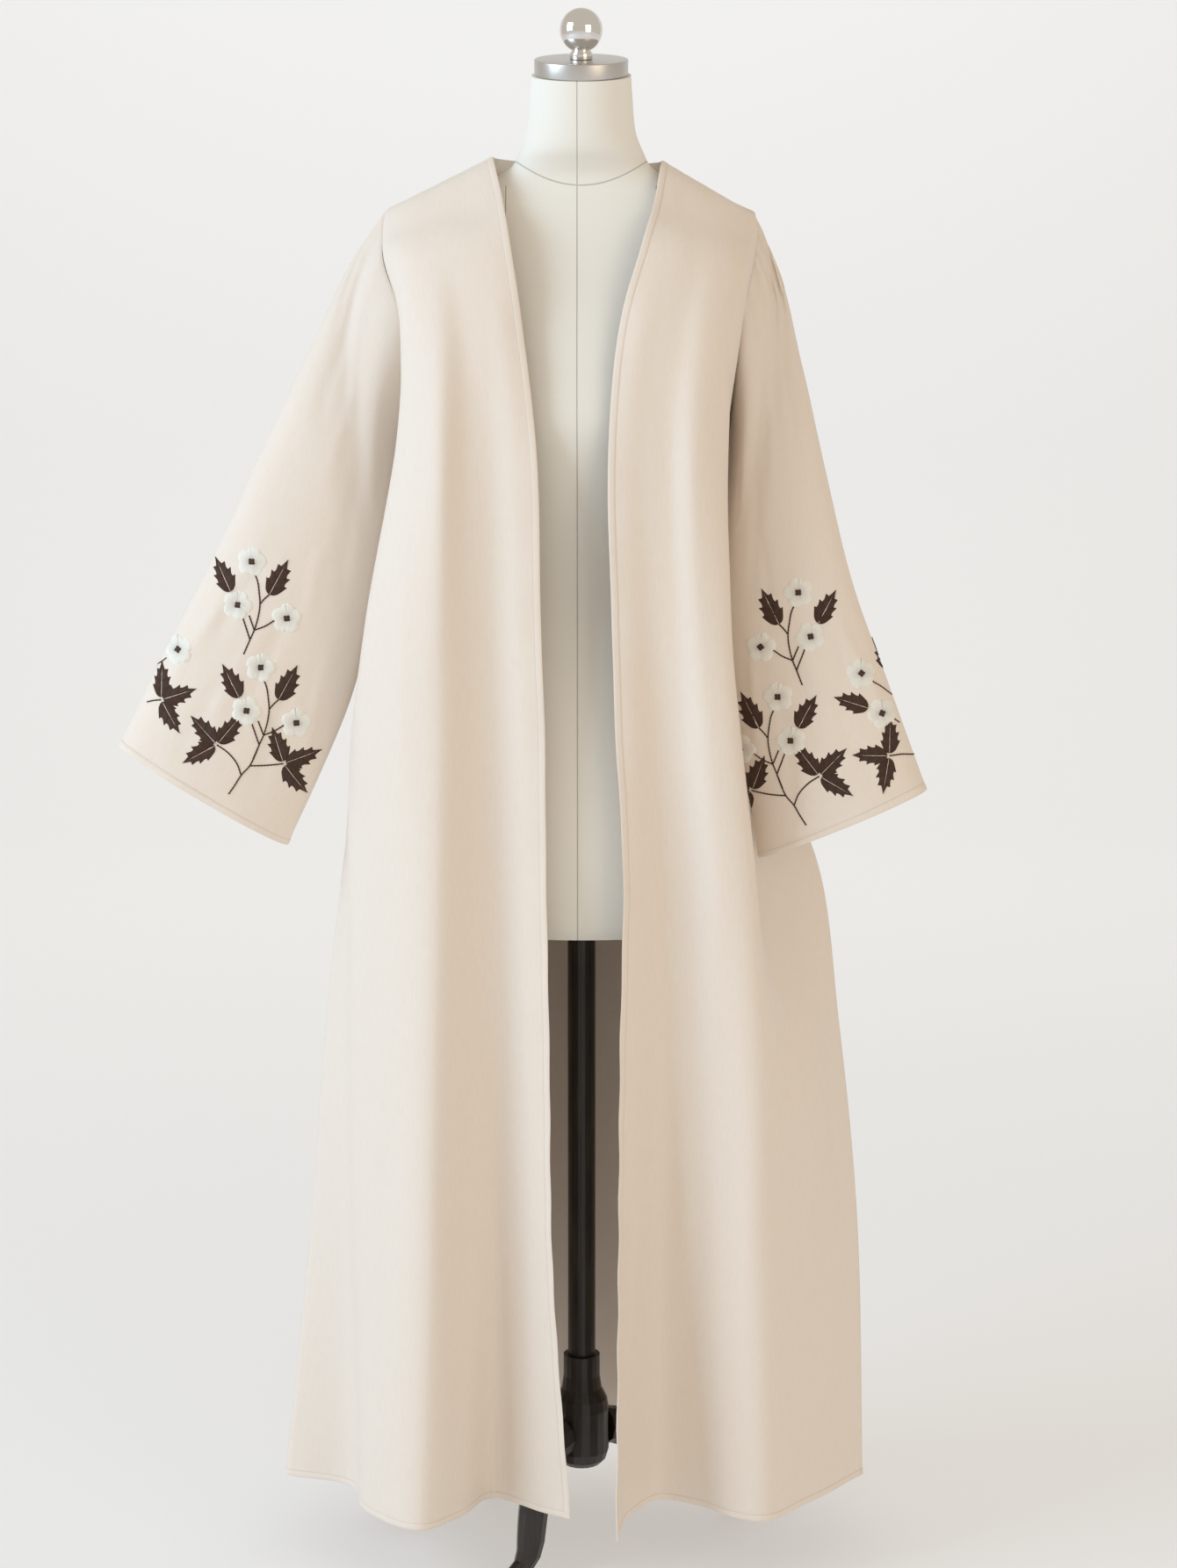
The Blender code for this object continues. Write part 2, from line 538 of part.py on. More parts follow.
def build_cap():
    """The metal cap on the neck and the ball on its collar."""
    r, t, e = CAP_RADIUS, CAP_THICK, CAP_EDGE
    cap = turned("neck_cap", ((0, 0), (r - e, 0), (r, e), (r, t - e), (r - e, t), (0, t)), CAP_SIDES)
    foot = t + FIT_GAP
    start = math.asin(COLLAR_TOP_RADIUS / BALL_RADIUS)
    middle = foot + COLLAR_HEIGHT + BALL_RADIUS * math.cos(start)
    profile = [(0, foot), (COLLAR_RADIUS, foot), (COLLAR_RADIUS, foot + COLLAR_SIDE),
               (COLLAR_TOP_RADIUS, foot + COLLAR_HEIGHT)]
    for step in range(1, BALL_STEPS):
        angle = start + (math.pi - start) * step / BALL_STEPS
        profile.append((BALL_RADIUS * math.sin(angle), middle - BALL_RADIUS * math.cos(angle)))
    profile.append((0, middle + BALL_RADIUS))
    ball = turned("finial", profile, BALL_SIDES)
    for obj in (cap, ball):
        obj.location = NECK_TOP
        obj.rotation_euler = (NECK_SLOPE, 0, 0)
    return [cap, ball]


def leg(name, azimuth, line, widths):
    """A tapering leg from the hub to the floor, with a flat foot."""
    line = np.array(line, float) * MM
    widths = np.array(widths) * MM
    knots = np.concatenate([[0], np.cumsum(np.linalg.norm(np.diff(line, axis=0), axis=1))])
    at = np.linspace(0, knots[-1], LEG_STEPS + 1)
    path = through(knots, line, at)
    half = through(knots, widths, at)
    turn = np.arange(LEG_SIDES) * 2 * math.pi / LEG_SIDES
    angle = math.radians(azimuth)
    outward = np.array([math.sin(angle), -math.cos(angle), 0])
    sideways = np.array([math.cos(angle), math.sin(angle), 0])
    rings = []
    for i, (reach, height) in enumerate(path):
        ahead = path[min(i + 1, LEG_STEPS)] - path[max(i - 1, 0)]
        along = unit(outward * ahead[0] + np.array([0, 0, ahead[1]]))
        if i == 0:
            along = outward
        if i == LEG_STEPS:
            along = np.array([0, 0, -1.0])
        over = np.cross(along, sideways)
        middle = outward * reach + np.array([0, 0, height])
        ring = middle + half[i] * (np.cos(turn)[:, None] * sideways + np.sin(turn)[:, None] * over)
        rings.append(ring)
    return rings_solid(name, rings)


def build_stand():
    """The pole under the torso, the hub and three legs."""
    hub = turned("hub", [(r * MM, z * MM) for r, z in HUB], HUB_SIDES)
    top = FORM_RINGS[0][0] * MM - FIT_GAP
    foot = POLE_FOOT
    pole = turned("pole", ((0, foot), (POLE_RADIUS, foot), (POLE_RADIUS, top), (0, top)), POLE_SIDES)
    return [hub, pole] + [leg(name, *shape) for name, shape in LEGS.items()]


def material(name, colour, roughness, metallic=0.0):
    """A Principled material with a linear colour."""
    made = bpy.data.materials.new(name)
    made.use_nodes = True
    shader = made.node_tree.nodes["Principled BSDF"]
    shader.inputs["Base Color"].default_value = (*colour, 1)
    shader.inputs["Roughness"].default_value = roughness
    shader.inputs["Metallic"].default_value = metallic
    return made


def paint(objects, made):
    for obj in objects:
        obj.data.materials.append(made)


def centre_on_floor(objects):
    """Moves the model so that its box stands on the floor, centred on the origin."""
    bpy.context.view_layer.update()
    corners = np.array([obj.matrix_world @ vertex.co for obj in objects for vertex in obj.data.vertices])
    middle = (corners.min(axis=0) + corners.max(axis=0)) / 2
    for obj in objects:
        obj.location.x -= middle[0]
        obj.location.y -= middle[1]


def main():
    for obj in list(bpy.data.objects):
        bpy.data.objects.remove(obj)
    cloth = build_cloth()
    torso = build_form()
    cap, ball = build_cap()
    stand = build_stand()
    for obj in cloth:
        paint([obj], material("cloth " + obj.name, (0.72, 0.61, 0.49), 0.75))
    paint([torso], material("canvas", (0.80, 0.76, 0.68), 0.8))
    paint([cap], material("brushed steel", (0.58, 0.57, 0.55), 0.35, 1.0))
    paint([ball], material("polished steel", (0.75, 0.74, 0.72), 0.08, 1.0))
    paint(stand, material("dark wood", (0.02, 0.016, 0.014), 0.4))
    centre_on_floor(cloth + [torso, cap, ball] + stand)


main()
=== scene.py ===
# Open-front abaya cloak on a dress form: the looks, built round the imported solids.
# Metres, +Z up, the open front towards -Y and +X to the viewer's right.
import math

import bmesh
import bpy
import numpy as np
from mathutils import Matrix, Vector
from mathutils.bvhtree import BVHTree


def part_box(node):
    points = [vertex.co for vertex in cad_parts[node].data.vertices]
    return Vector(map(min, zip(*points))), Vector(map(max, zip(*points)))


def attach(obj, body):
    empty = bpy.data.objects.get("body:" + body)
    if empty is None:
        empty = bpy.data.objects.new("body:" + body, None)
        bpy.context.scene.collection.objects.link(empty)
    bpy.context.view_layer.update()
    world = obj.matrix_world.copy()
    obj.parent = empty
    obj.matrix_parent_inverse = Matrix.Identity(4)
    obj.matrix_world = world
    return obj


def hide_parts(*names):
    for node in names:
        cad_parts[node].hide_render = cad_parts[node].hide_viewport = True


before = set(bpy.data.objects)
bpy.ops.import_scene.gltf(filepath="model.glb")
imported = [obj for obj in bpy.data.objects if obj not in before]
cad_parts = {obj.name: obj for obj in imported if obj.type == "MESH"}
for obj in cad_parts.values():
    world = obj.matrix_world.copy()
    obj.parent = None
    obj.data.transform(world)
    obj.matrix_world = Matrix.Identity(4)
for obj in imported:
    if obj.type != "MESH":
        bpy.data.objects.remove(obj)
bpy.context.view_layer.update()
bpy.ops.object.select_all(action="DESELECT")
poleLow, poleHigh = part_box("pole")
axis = np.array([(poleLow.x + poleHigh.x) / 2, (poleLow.y + poleHigh.y) / 2, 0.0])  # the stand's own axis
mm = 0.001
print("frame loaded")

# What sets the cloth's cut and finish
cloth = {
    "thickness": 0.9 * mm,
    "hemSteps": (0, 0.7, 2.5, 5.0, 6.6, 7.4, 8.4, 11.0),  # mm in from a turned edge
    "hemRise": (0.1, 0.55, 0.6, 0.55, 0.35, -0.25, 0.0, 0.0),  # mm, the stitched line is the low one
    "seamSteps": (0, 1.2, 3.5, 8.0),
    "seamRise": (-1.1, -0.4, 0.15, 0.0),
    "armholeSteps": (0, 3.0, 8.0, 16.0, 24.0),
    "armholeRise": (-0.9, -1.8, -1.3, -0.4, 0.0),  # mm, a shallow valley along the set-in seam
    "armholeRows": 44,
    "skirtRows": 96,
    "frontColumns": 60,
    "backColumns": 110,
    "sleeveRows": 96,
    "colour": (0.825, 0.738, 0.655),
    "shadeColour": (0.805, 0.712, 0.622),
    "stitchColour": (0.60, 0.49, 0.38),
    "threadPitch": 0.7 * mm,
    "stitchLine": 7.4 * mm,
    "stitchPitch": 3.0 * mm,
    "waveHeight": 0.7 * mm,
    "waveReach": 16 * mm,
}

# The dress form's finish
form = {
    "rows": 150,
    "columns": 120,
    "colour": (0.83, 0.805, 0.745),
    "seamColour": (0.56, 0.53, 0.47),
    "frontSeam": -4 * mm,
    "panelSeam": 78 * mm,
    "neckSeam": 1.499,
    "neckSeamRise": 5.5,  # per metre of the distance across, squared
    "seamHalfWidth": 0.9 * mm,
}

# Each row of a panel: its height at the first and the last place, then x and y there.
# The rows run from the shoulder seam down to the hem, and as far as the underarm
# their last place lies on the armhole.
rowNames = ("shoulder", "ridge", "yoke", "chest", "bust", "underarm", "waist", "hip", "seat",
             "thigh", "knee", "hem")
underarm = rowNames.index("underarm")

# Places of a front: edge, lap, trough, rise, crest, fold, tuck, seam
leftFront = {
    "shoulder": (1530, 1477, (-92, -108, -123, -139, -154, -170, -185, -201),
                 (0, 0, 0, 0, 0, 0, 0, 0)),
    "ridge": (1520, 1473, (-89, -106, -122, -138, -154, -171, -188, -204),
              (-24, -24, -23, -22, -20, -18, -14, -8)),
    "yoke": (1483, 1454, (-80, -97, -115, -134, -153, -172, -190, -206),
             (-58, -56, -53, -50, -46, -40, -31, -19)),
    "chest": (1440, 1418, (-72, -90, -110, -131, -154, -178, -194, -203),
              (-92, -92, -91, -88, -83, -74, -60, -40)),
    "bust": (1348, 1348, (-58, -78, -98, -119, -144, -180, -184, -178),
             (-118, -121, -119, -117, -119, -98, -74, -52)),
    "underarm": (1218, 1240, (-44, -66, -92, -116, -142, -189, -178, -162),
                 (-132, -131, -125, -127, -138, -90, -46, 4)),
    "waist": (1060, 1060, (-41, -64, -90, -114, -144, -220, -216, -199),
              (-131, -128, -118, -123, -140, -88, -42, 8)),
    "hip": (940, 940, (-37, -60, -87, -112, -146, -230, -241, -229),
            (-131, -126, -113, -120, -139, -90, -46, 10)),
    "seat": (795, 795, (-36, -58, -86, -112, -149, -230, -250, -256),
             (-130, -122, -106, -115, -138, -85, -34, 14)),
    "thigh": (605, 605, (-33, -56, -86, -113, -154, -231, -254, -279),
              (-128, -117, -96, -108, -137, -81, -27, 16)),
    "knee": (370, 370, (-30, -52, -88, -117, -161, -233, -256, -299),
             (-122, -106, -76, -97, -135, -77, -18, 20)),
    "hem": (90, 86, (-12, -46, -97, -130, -170, -234, -254, -331),
            (-104, -84, -44, -94, -131, -78, -8, 28)),
}
rightFront = {
    "shoulder": (1526, 1472, (84, 98, 111, 125, 138, 152, 165, 179),
                 (0, 0, 0, 0, 0, 0, 0, 0)),
    "ridge": (1516, 1468, (81, 96, 110, 124, 138, 153, 168, 182),
              (-24, -24, -23, -22, -20, -18, -14, -8)),
    "yoke": (1479, 1449, (74, 89, 104, 120, 137, 154, 170, 183),
             (-58, -56, -53, -50, -46, -40, -31, -19)),
    "chest": (1436, 1414, (61, 79, 98, 117, 137, 157, 171, 177),
              (-92, -92, -91, -87, -82, -73, -59, -40)),
    "bust": (1346, 1346, (37, 58, 80, 101, 124, 152, 163, 160),
             (-119, -122, -119, -116, -115, -99, -75, -52)),
    "underarm": (1215, 1240, (27, 46, 68, 90, 114, 144, 150, 152),
                 (-132, -131, -127, -126, -130, -108, -54, 4)),
    "waist": (1060, 1060, (31, 50, 72, 94, 120, 151, 139, 137),
              (-131, -128, -120, -121, -128, -114, -58, 8)),
    "hip": (940, 940, (35, 54, 78, 101, 130, 162, 154, 158),
            (-131, -126, -112, -114, -127, -117, -54, 26)),
    "seat": (795, 795, (43, 60, 84, 108, 142, 179, 172, 253),
             (-135, -124, -104, -106, -122, -114, -40, 50)),
    "thigh": (605, 605, (40, 56, 84, 112, 147, 187, 234, 282),
              (-135, -122, -95, -96, -112, -116, -55, 28)),
    "knee": (370, 370, (39, 53, 84, 118, 152, 192, 244, 305),
             (-138, -108, -72, -82, -102, -112, -56, 24)),
    "hem": (84, 88, (37, 49, 84, 128, 160, 198, 252, 313),
            (-150, -92, -42, -58, -90, -103, -50, 22)),
}
# Places of the back between its two sides: left arm, left neck, centre, right neck, right arm.
# The armhole rows also give the sides; below them the back meets the fronts' side seams.
backTable = {
    "ridge": (1473, 1521, (-204, -156, -91, -4, 83, 140, 182), (8, 22, 27, 74, 27, 22, 8)),
    "yoke": (1454, 1494, (-206, -160, -92, -4, 84, 146, 183), (19, 48, 66, 82, 66, 48, 19)),
    "chest": (1418, 1440, (-202, -162, -92, -3, 86, 148, 177), (42, 76, 98, 106, 98, 76, 42)),
    "bust": (1348, 1348, (-186, -156, -88, -2, 84, 142, 162), (60, 94, 114, 121, 114, 94, 58)),
    "underarm": (1240, 1218, (0, -156, -86, -2, 84, 142, 0), (0, 80, 122, 129, 122, 76, 0)),
    "waist": (1060, 1060, (0, -178, -94, -2, 92, 154, 0), (0, 92, 136, 144, 136, 90, 0)),
    "hip": (940, 940, (0, -206, -106, 0, 106, 182, 0), (0, 104, 150, 158, 150, 108, 0)),
    "seat": (795, 795, (0, -228, -118, 0, 118, 226, 0), (0, 116, 166, 174, 166, 128, 0)),
    "thigh": (605, 605, (0, -250, -130, 0, 130, 252, 0), (0, 130, 182, 190, 182, 132, 0)),
    "knee": (370, 370, (0, -270, -144, 0, 144, 272, 0), (0, 148, 202, 212, 202, 148, 0)),
    "hem": (86, 80, (0, -296, -158, 0, 158, 290, 0), (0, 168, 228, 238, 228, 166, 0)),
}
backNeckDrop = (70, 1526)  # y and z of the neckline at the centre back
backFolds = 5
backFoldDepth = 20 * mm  # at the hem, fading out at the waist
foldTop = 1.03
foldGrowth = 1.2
foldDrift = 0.5  # makes the folds uneven
hemHeight = 0.08
sideReach = 0.12  # share of the back's width that is drawn to each side seam

# Each row of a sleeve: outer rail x, y, z, inner rail x, y, z, depth in front, depth behind.
# Row 0 of a sleeve is its armhole, so these are the rows below it.
leftSleeve = (
    (-239, -7, 1423, -190, 2, 1208, 46, 50),
    (-276, -14, 1347, -204, -2, 1130, 42, 42),
    (-332, -22, 1232, -223, -8, 1046, 38, 34),
    (-388, -29, 1113, -246, -14, 962, 37, 32),
    (-440, -35, 1015, -277, -24, 888, 37, 32),
    (-488, -40, 920, -312, -35, 813, 38, 33),
)
rightSleeve = (
    (208, -8, 1405, 154, 1, 1198, 44, 44),
    (231, -15, 1314, 149, -4, 1118, 40, 36),
    (256, -22, 1205, 151, -12, 1028, 37, 29),
    (286, -30, 1086, 162, -22, 940, 36, 28),
    (322, -37, 988, 177, -34, 868, 36, 27),
    (364, -45, 874, 187, -45, 801, 37, 28),
)
headShare = 0.42  # of a sleeve's length, over which the armhole's outline turns into an oval
ovalPower = 0.9
startDepths = (0.05, 0.05)
capGathers = {"left": 0.8 * mm, "right": 2.6 * mm}  # height of the gathers at the sleeve head
gatherCount = 5
gatherDepth = 0.3  # share of the ring, from the outer rail
gatherPlace = 0.15  # share of the sleeve's length
gatherSpread = 0.08

# Rings of the dress form: height, half width, depth in front, depth behind
formRings = (
    (720, 132, 90, 98), (740, 141, 96, 105), (810, 150, 101, 112), (880, 150, 100, 112),
    (960, 140, 94, 102), (1030, 124, 86, 90), (1090, 116, 82, 82), (1150, 120, 89, 82),
    (1210, 131, 103, 86), (1260, 141, 114, 90), (1310, 149, 108, 93), (1360, 156, 95, 93),
    (1400, 164, 78, 87), (1430, 170, 65, 76), (1455, 169, 54, 62), (1474, 159, 45, 50),
    (1488, 138, 36, 37), (1499, 111, 31, 31), (1510, 87, 31, 32), (1520, 72, 36, 38),
    (1535, 64, 46, 48), (1555, 56, 49, 51), (1582, 53, 49, 50), (1602, 51.5, 47, 48),
)
formRoundness = 2.25

# Neck cap and finial, both square to the neck's sloping top
neckTop = (0.0, 0.0, 1.6126)
neckRoot = 1.535
neckSlope = math.radians(13)
capRadius = 48.6 * mm
capThick = 16 * mm
ballRadius = 22.2 * mm
collarRadius = 12 * mm
collarTopRadius = 9.6 * mm
collarSide = 6.8 * mm
collarHeight = 9 * mm


def through(knots, values, at):
    # a smooth curve that passes through values at knots, read at the places in at
    knots = np.asarray(knots, float)
    at = np.asarray(at, float)
    values = np.asarray(values, float)
    flat = values.reshape(len(knots), -1)
    steps = np.diff(knots)[:, None]
    slopes = np.diff(flat, axis=0) / steps
    tangents = np.empty_like(flat)
    tangents[0] = slopes[0]
    tangents[-1] = slopes[-1]
    tangents[1:-1] = (slopes[:-1] * steps[1:] + slopes[1:] * steps[:-1]) / (steps[1:] + steps[:-1])
    seat = np.clip(np.searchsorted(knots, at, side="right") - 1, 0, len(knots) - 2)
    step = steps[seat]
    t = ((at - knots[seat]) / step[:, 0])[:, None]
    found = ((2 * t ** 3 - 3 * t ** 2 + 1) * flat[seat] + (t ** 3 - 2 * t ** 2 + t) * step * tangents[seat]
             + (3 * t ** 2 - 2 * t ** 3) * flat[seat + 1] + (t ** 3 - t ** 2) * step * tangents[seat + 1])
    return found.reshape((len(at),) + values.shape[1:])


def smoothStep(t):
    t = np.clip(t, 0, 1)
    return t * t * (3 - 2 * t)


def unit(vectors):
    return vectors / np.linalg.norm(vectors, axis=-1, keepdims=True)


def surfaceNormals(grid, closed=False):
    down = np.gradient(grid, axis=0)
    over = np.roll(grid, -1, axis=1) - np.roll(grid, 1, axis=1) if closed else np.gradient(grid, axis=1)
    return unit(np.cross(over, down))


hemSteps = np.array(cloth["hemSteps"]) * mm
seamSteps = np.array(cloth["seamSteps"]) * mm
lastRow = len(rowNames) - 1
hemScale = 0.28  # metres from the knee row to the hem row
upperRows = underarm * (np.arange(cloth["armholeRows"]) / cloth["armholeRows"]) ** 1.25
lowerRows = np.linspace(underarm, lastRow - hemSteps[-1] / hemScale, cloth["skirtRows"] + 1)
rowPlaces = np.concatenate([upperRows, lowerRows, lastRow - hemSteps[:-1][::-1] / hemScale])


def tablePoints(table, names, mirrored=False):
    rows = []
    for name in names:
        first, last, x, y = table[name]
        share = np.linspace(0, 1, len(x))
        if mirrored:
            share = 1 - abs(2 * share - 1)
        rows.append(np.column_stack([x, y, first + (last - first) * share]))
    return np.array(rows) * mm


def frontSurface(table):
    # rows of points from the front edge to the armhole or side seam, closer at the two edges
    rows = through(range(len(rowNames)), tablePoints(table, rowNames), rowPlaces)
    grid = []
    for row in rows:
        lengths = np.linalg.norm(np.diff(row, axis=0), axis=1)
        knots = np.concatenate([[0], np.cumsum(np.sqrt(lengths))])
        fine = through(knots, row, np.linspace(0, knots[-1], 260))
        along = np.concatenate([[0], np.cumsum(np.linalg.norm(np.diff(fine, axis=0), axis=1))])
        even = np.linspace(hemSteps[-1], along[-1] - seamSteps[-1], cloth["frontColumns"] + 1)
        places = np.concatenate([hemSteps[:-1], even, along[-1] - seamSteps[:-1][::-1]])
        grid.append(np.column_stack([np.interp(places, along, fine[:, k]) for k in range(3)]))
    return np.array(grid)


backWidth = 26  # columns of the back's table, from arm to arm
shoulderColumns = 7
neckColumns = 12


def backColumns():
    middle = np.linspace(0.35, backWidth - 0.35, cloth["backColumns"] + 1)
    return np.concatenate([[0, 0.06, 0.17], middle, backWidth - np.array([0.17, 0.06, 0])])


def backTop(columns, left, right):
    leftTip, leftNeck, rightTip, rightNeck = left[0, -1], left[0, 0], right[0, -1], right[0, 0]
    drop = np.array(backNeckDrop) * mm
    middle = (leftNeck + rightNeck) / 2
    points = []
    for c in columns:
        if c <= shoulderColumns:
            points.append(leftTip + (leftNeck - leftTip) * c / shoulderColumns)
        elif c >= shoulderColumns + neckColumns:
            share = (c - shoulderColumns - neckColumns) / shoulderColumns
            points.append(rightNeck + (rightTip - rightNeck) * share)
        else:
            turn = math.pi * (c - shoulderColumns) / neckColumns
            points.append((middle[0] + (leftNeck[0] - rightNeck[0]) / 2 * math.cos(turn),
                           drop[0] * math.sin(turn) ** 0.8,
                           middle[2] + (leftNeck[2] - rightNeck[2]) / 2 * math.cos(turn)
                           + (drop[1] - middle[2]) * math.sin(turn) ** 2))
    return np.array(points)


def backSurface(left, right):
    columns = backColumns()
    top = backTop(columns, left, right)
    half = shoulderColumns / 2
    knots = np.array([0, half, shoulderColumns + 1, backWidth / 2, backWidth - shoulderColumns - 1,
                      backWidth - half, backWidth])
    places = tablePoints(backTable, rowNames[1:], mirrored=True)
    seams = [through(range(len(rowNames)), tablePoints(table, rowNames)[:, -1], range(len(rowNames)))
             for table in (leftFront, rightFront)]
    for k in range(underarm, len(rowNames)):
        places[k - 1][0] = seams[0][k]
        places[k - 1][-1] = seams[1][k]
    sections = np.array([through(knots, row, columns) for row in places])
    sections = np.concatenate([top[None], sections])
    grid = through(range(len(rowNames)), sections, rowPlaces)
    grid[0] = top
    skirt = slice(cloth["armholeRows"], None)
    grid[skirt] = foldBack(grid[skirt], left[skirt, -1], right[skirt, -1], columns / backWidth)
    return grid


def foldBack(grid, leftSeam, rightSeam, share):
    fromLeft = smoothStep(share / sideReach)[None, :, None]
    grid = grid + (leftSeam - grid[:, 0])[:, None] * (1 - fromLeft)
    fromRight = smoothStep((1 - share) / sideReach)[None, :, None]
    grid = grid + (rightSeam - grid[:, -1])[:, None] * (1 - fromRight)
    growth = np.clip((foldTop - grid[..., 2]) / (foldTop - hemHeight), 0, 1) ** foldGrowth
    wave = np.cos(2 * math.pi * backFolds * share + foldDrift * np.sin(4 * math.pi * share))
    wave = wave * np.clip(np.sin(math.pi * share), 0, 1) ** 0.5
    away = np.stack([-np.cos(math.pi * share), np.sin(math.pi * share) + 0.35, 0 * share], axis=1)
    away = unit(away)
    return grid + (backFoldDepth * growth * wave[None])[..., None] * away[None]


def sleeveSurface(loop, table, gather):
    # rings of points from the armhole down to the cuff, and each ring's share of the sleeve
    tip, pit = loop[0], loop[cloth["armholeRows"]]
    rails = np.concatenate([np.concatenate([tip, pit, startDepths])[None], np.array(table, float) * mm])
    steps = np.linalg.norm(np.diff(rails[:, :3], axis=0), axis=1)
    knots = np.concatenate([[0], np.cumsum(steps)])
    at = (knots[-1] - hemSteps[-1]) * np.linspace(0, 1, cloth["sleeveRows"] + 1) ** 1.15
    at = np.concatenate([at, knots[-1] - hemSteps[:-1][::-1]])
    shares = (at / knots[-1]) ** (1 / 1.15)
    rails = through(knots, rails, at)
    turn = np.arange(len(loop)) * 2 * math.pi / len(loop)
    chord = pit - tip
    length = np.linalg.norm(chord)
    out = np.cross([0, 1, 0], chord / length)
    level = np.array([0.0, 1.0, 0.0])
    own = loop - tip
    ownAlong = own @ chord / length ** 2
    ownDepth = own @ level - ownAlong * chord[1]
    ownOut = own @ out
    rings = [loop]
    for index in range(1, len(at)):
        outer, inner, ahead, behind = np.split(rails[index], [3, 6, 7])
        blend = float(smoothStep(shares[index] / headShare))
        along = ownAlong * (1 - blend) + (1 - np.cos(turn)) / 2 * blend
        deep = np.where(turn < math.pi, ahead[0], behind[0])
        roundDepth = -deep * np.sign(np.sin(turn)) * abs(np.sin(turn)) ** ovalPower
        depth = ownDepth * (1 - blend) + roundDepth * blend
        side = inner - outer
        aside = np.cross(level, side / np.linalg.norm(side))
        ring = outer + along[:, None] * side + depth[:, None] * level
        ring = ring + (ownOut * (1 - blend))[:, None] * aside
        nearHead = np.clip(1 - along / gatherDepth, 0, 1)
        nearHead = nearHead * math.exp(-((shares[index] - gatherPlace) / gatherSpread) ** 2)
        pleat = np.cos(2 * gatherCount * turn) * nearHead * gather
        rings.append(ring + pleat[:, None] * np.array([0, -1, 0]) * np.sign(math.pi - turn)[:, None])
    return np.array(rings)


def profile(distance, steps, rises):
    return np.interp(distance, np.array(steps) * mm, np.array(rises) * mm)


def arcLengths(grid, axisNumber):
    steps = np.linalg.norm(np.diff(grid, axis=axisNumber), axis=2)
    lead = np.zeros((grid.shape[0], 1)) if axisNumber == 1 else np.zeros((1, grid.shape[1]))
    return np.concatenate([lead, np.cumsum(steps, axis=axisNumber)], axis=axisNumber)


def shell(name, grid, normals, closed=False):
    # a thin wall of two skins inside the outer points, with flat UVs in metres of cloth
    loopGrid = np.concatenate([grid, grid[:, :1]], axis=1) if closed else grid
    u = arcLengths(loopGrid, 1)
    v = arcLengths(loopGrid, 0).mean(axis=1, keepdims=True) * np.ones_like(u)
    rows, columns = grid.shape[:2]
    inner = grid - normals * cloth["thickness"]
    points = np.concatenate([grid.reshape(-1, 3), inner.reshape(-1, 3)]) + axis
    far = rows * columns
    turns = columns if closed else columns - 1
    i, j = [part.ravel() for part in np.meshgrid(np.arange(rows - 1), np.arange(turns), indexing="ij")]
    k = (j + 1) % columns
    quads = np.stack([i * columns + j, (i + 1) * columns + j, (i + 1) * columns + k, i * columns + k], axis=1)
    places = np.stack([np.stack([i, j], 1), np.stack([i + 1, j], 1), np.stack([i + 1, j + 1], 1),
                       np.stack([i, j + 1], 1)], axis=1)
    faces = [quads, quads[:, ::-1] + far]
    uvPlaces = [places, places[:, ::-1]]
    if closed:
        rims = [[(0, c) for c in range(columns + 1)], [(rows - 1, c) for c in reversed(range(columns + 1))]]
    else:
        rims = [[(0, c) for c in range(columns)] + [(r, columns - 1) for r in range(1, rows)]
                + [(rows - 1, c) for c in reversed(range(columns - 1))]
                + [(r, 0) for r in reversed(range(rows - 1))]]
    for rim in rims:
        rim = np.array(rim)
        ids = rim[:, 0] * columns + rim[:, 1] % columns
        faces.append(np.stack([ids[:-1], ids[1:], ids[1:] + far, ids[:-1] + far], axis=1))
        uvPlaces.append(np.stack([rim[:-1], rim[1:], rim[1:], rim[:-1]], axis=1))
    faces = np.concatenate(faces)
    uvPlaces = np.concatenate(uvPlaces)
    if (surfaceNormals(grid, closed) * normals).sum() > 0:
        faces = faces[:, ::-1]
        uvPlaces = uvPlaces[:, ::-1]
    mesh = bpy.data.meshes.new(name)
    mesh.from_pydata(points.tolist(), [], faces.tolist())
    layer = mesh.uv_layers.new(name="cloth")
    flat = uvPlaces.reshape(-1, 2)
    fromHem = v[-1] - v
    alongHem = u
    if name.startswith("cloakFront"):
        alongHem = np.where(u < fromHem, v, u)
        fromHem = np.minimum(u, fromHem)
    hemLayer = mesh.uv_layers.new(name="hem")
    hemPlaces = np.stack([fromHem[flat[:, 0], flat[:, 1]], alongHem[flat[:, 0], flat[:, 1]]], 1)
    hemLayer.data.foreach_set("uv", hemPlaces.ravel())
    layer.data.foreach_set("uv", np.stack([u[flat[:, 0], flat[:, 1]], v[flat[:, 0], flat[:, 1]]], 1).ravel())
    mesh.shade_smooth()
    mesh.set_sharp_from_angle(angle=math.radians(60))
    obj = bpy.data.objects.new(name, mesh)
    bpy.context.scene.collection.objects.link(obj)
    return obj


leftGrid = frontSurface(leftFront)
rightGrid = frontSurface(rightFront)
backGrid = backSurface(leftGrid, rightGrid)
armRows = cloth["armholeRows"]


def armholeLoop(front, backSide):
    return np.concatenate([front[:armRows + 1, -1], backSide[1:armRows][::-1]])


leftLoop = armholeLoop(leftGrid, backGrid[:, 0])
rightLoop = armholeLoop(rightGrid, backGrid[:, -1])
leftArm = sleeveSurface(leftLoop, leftSleeve, capGathers["left"])
rightArm = sleeveSurface(rightLoop, rightSleeve, capGathers["right"])
print("cloth surfaces worked out")

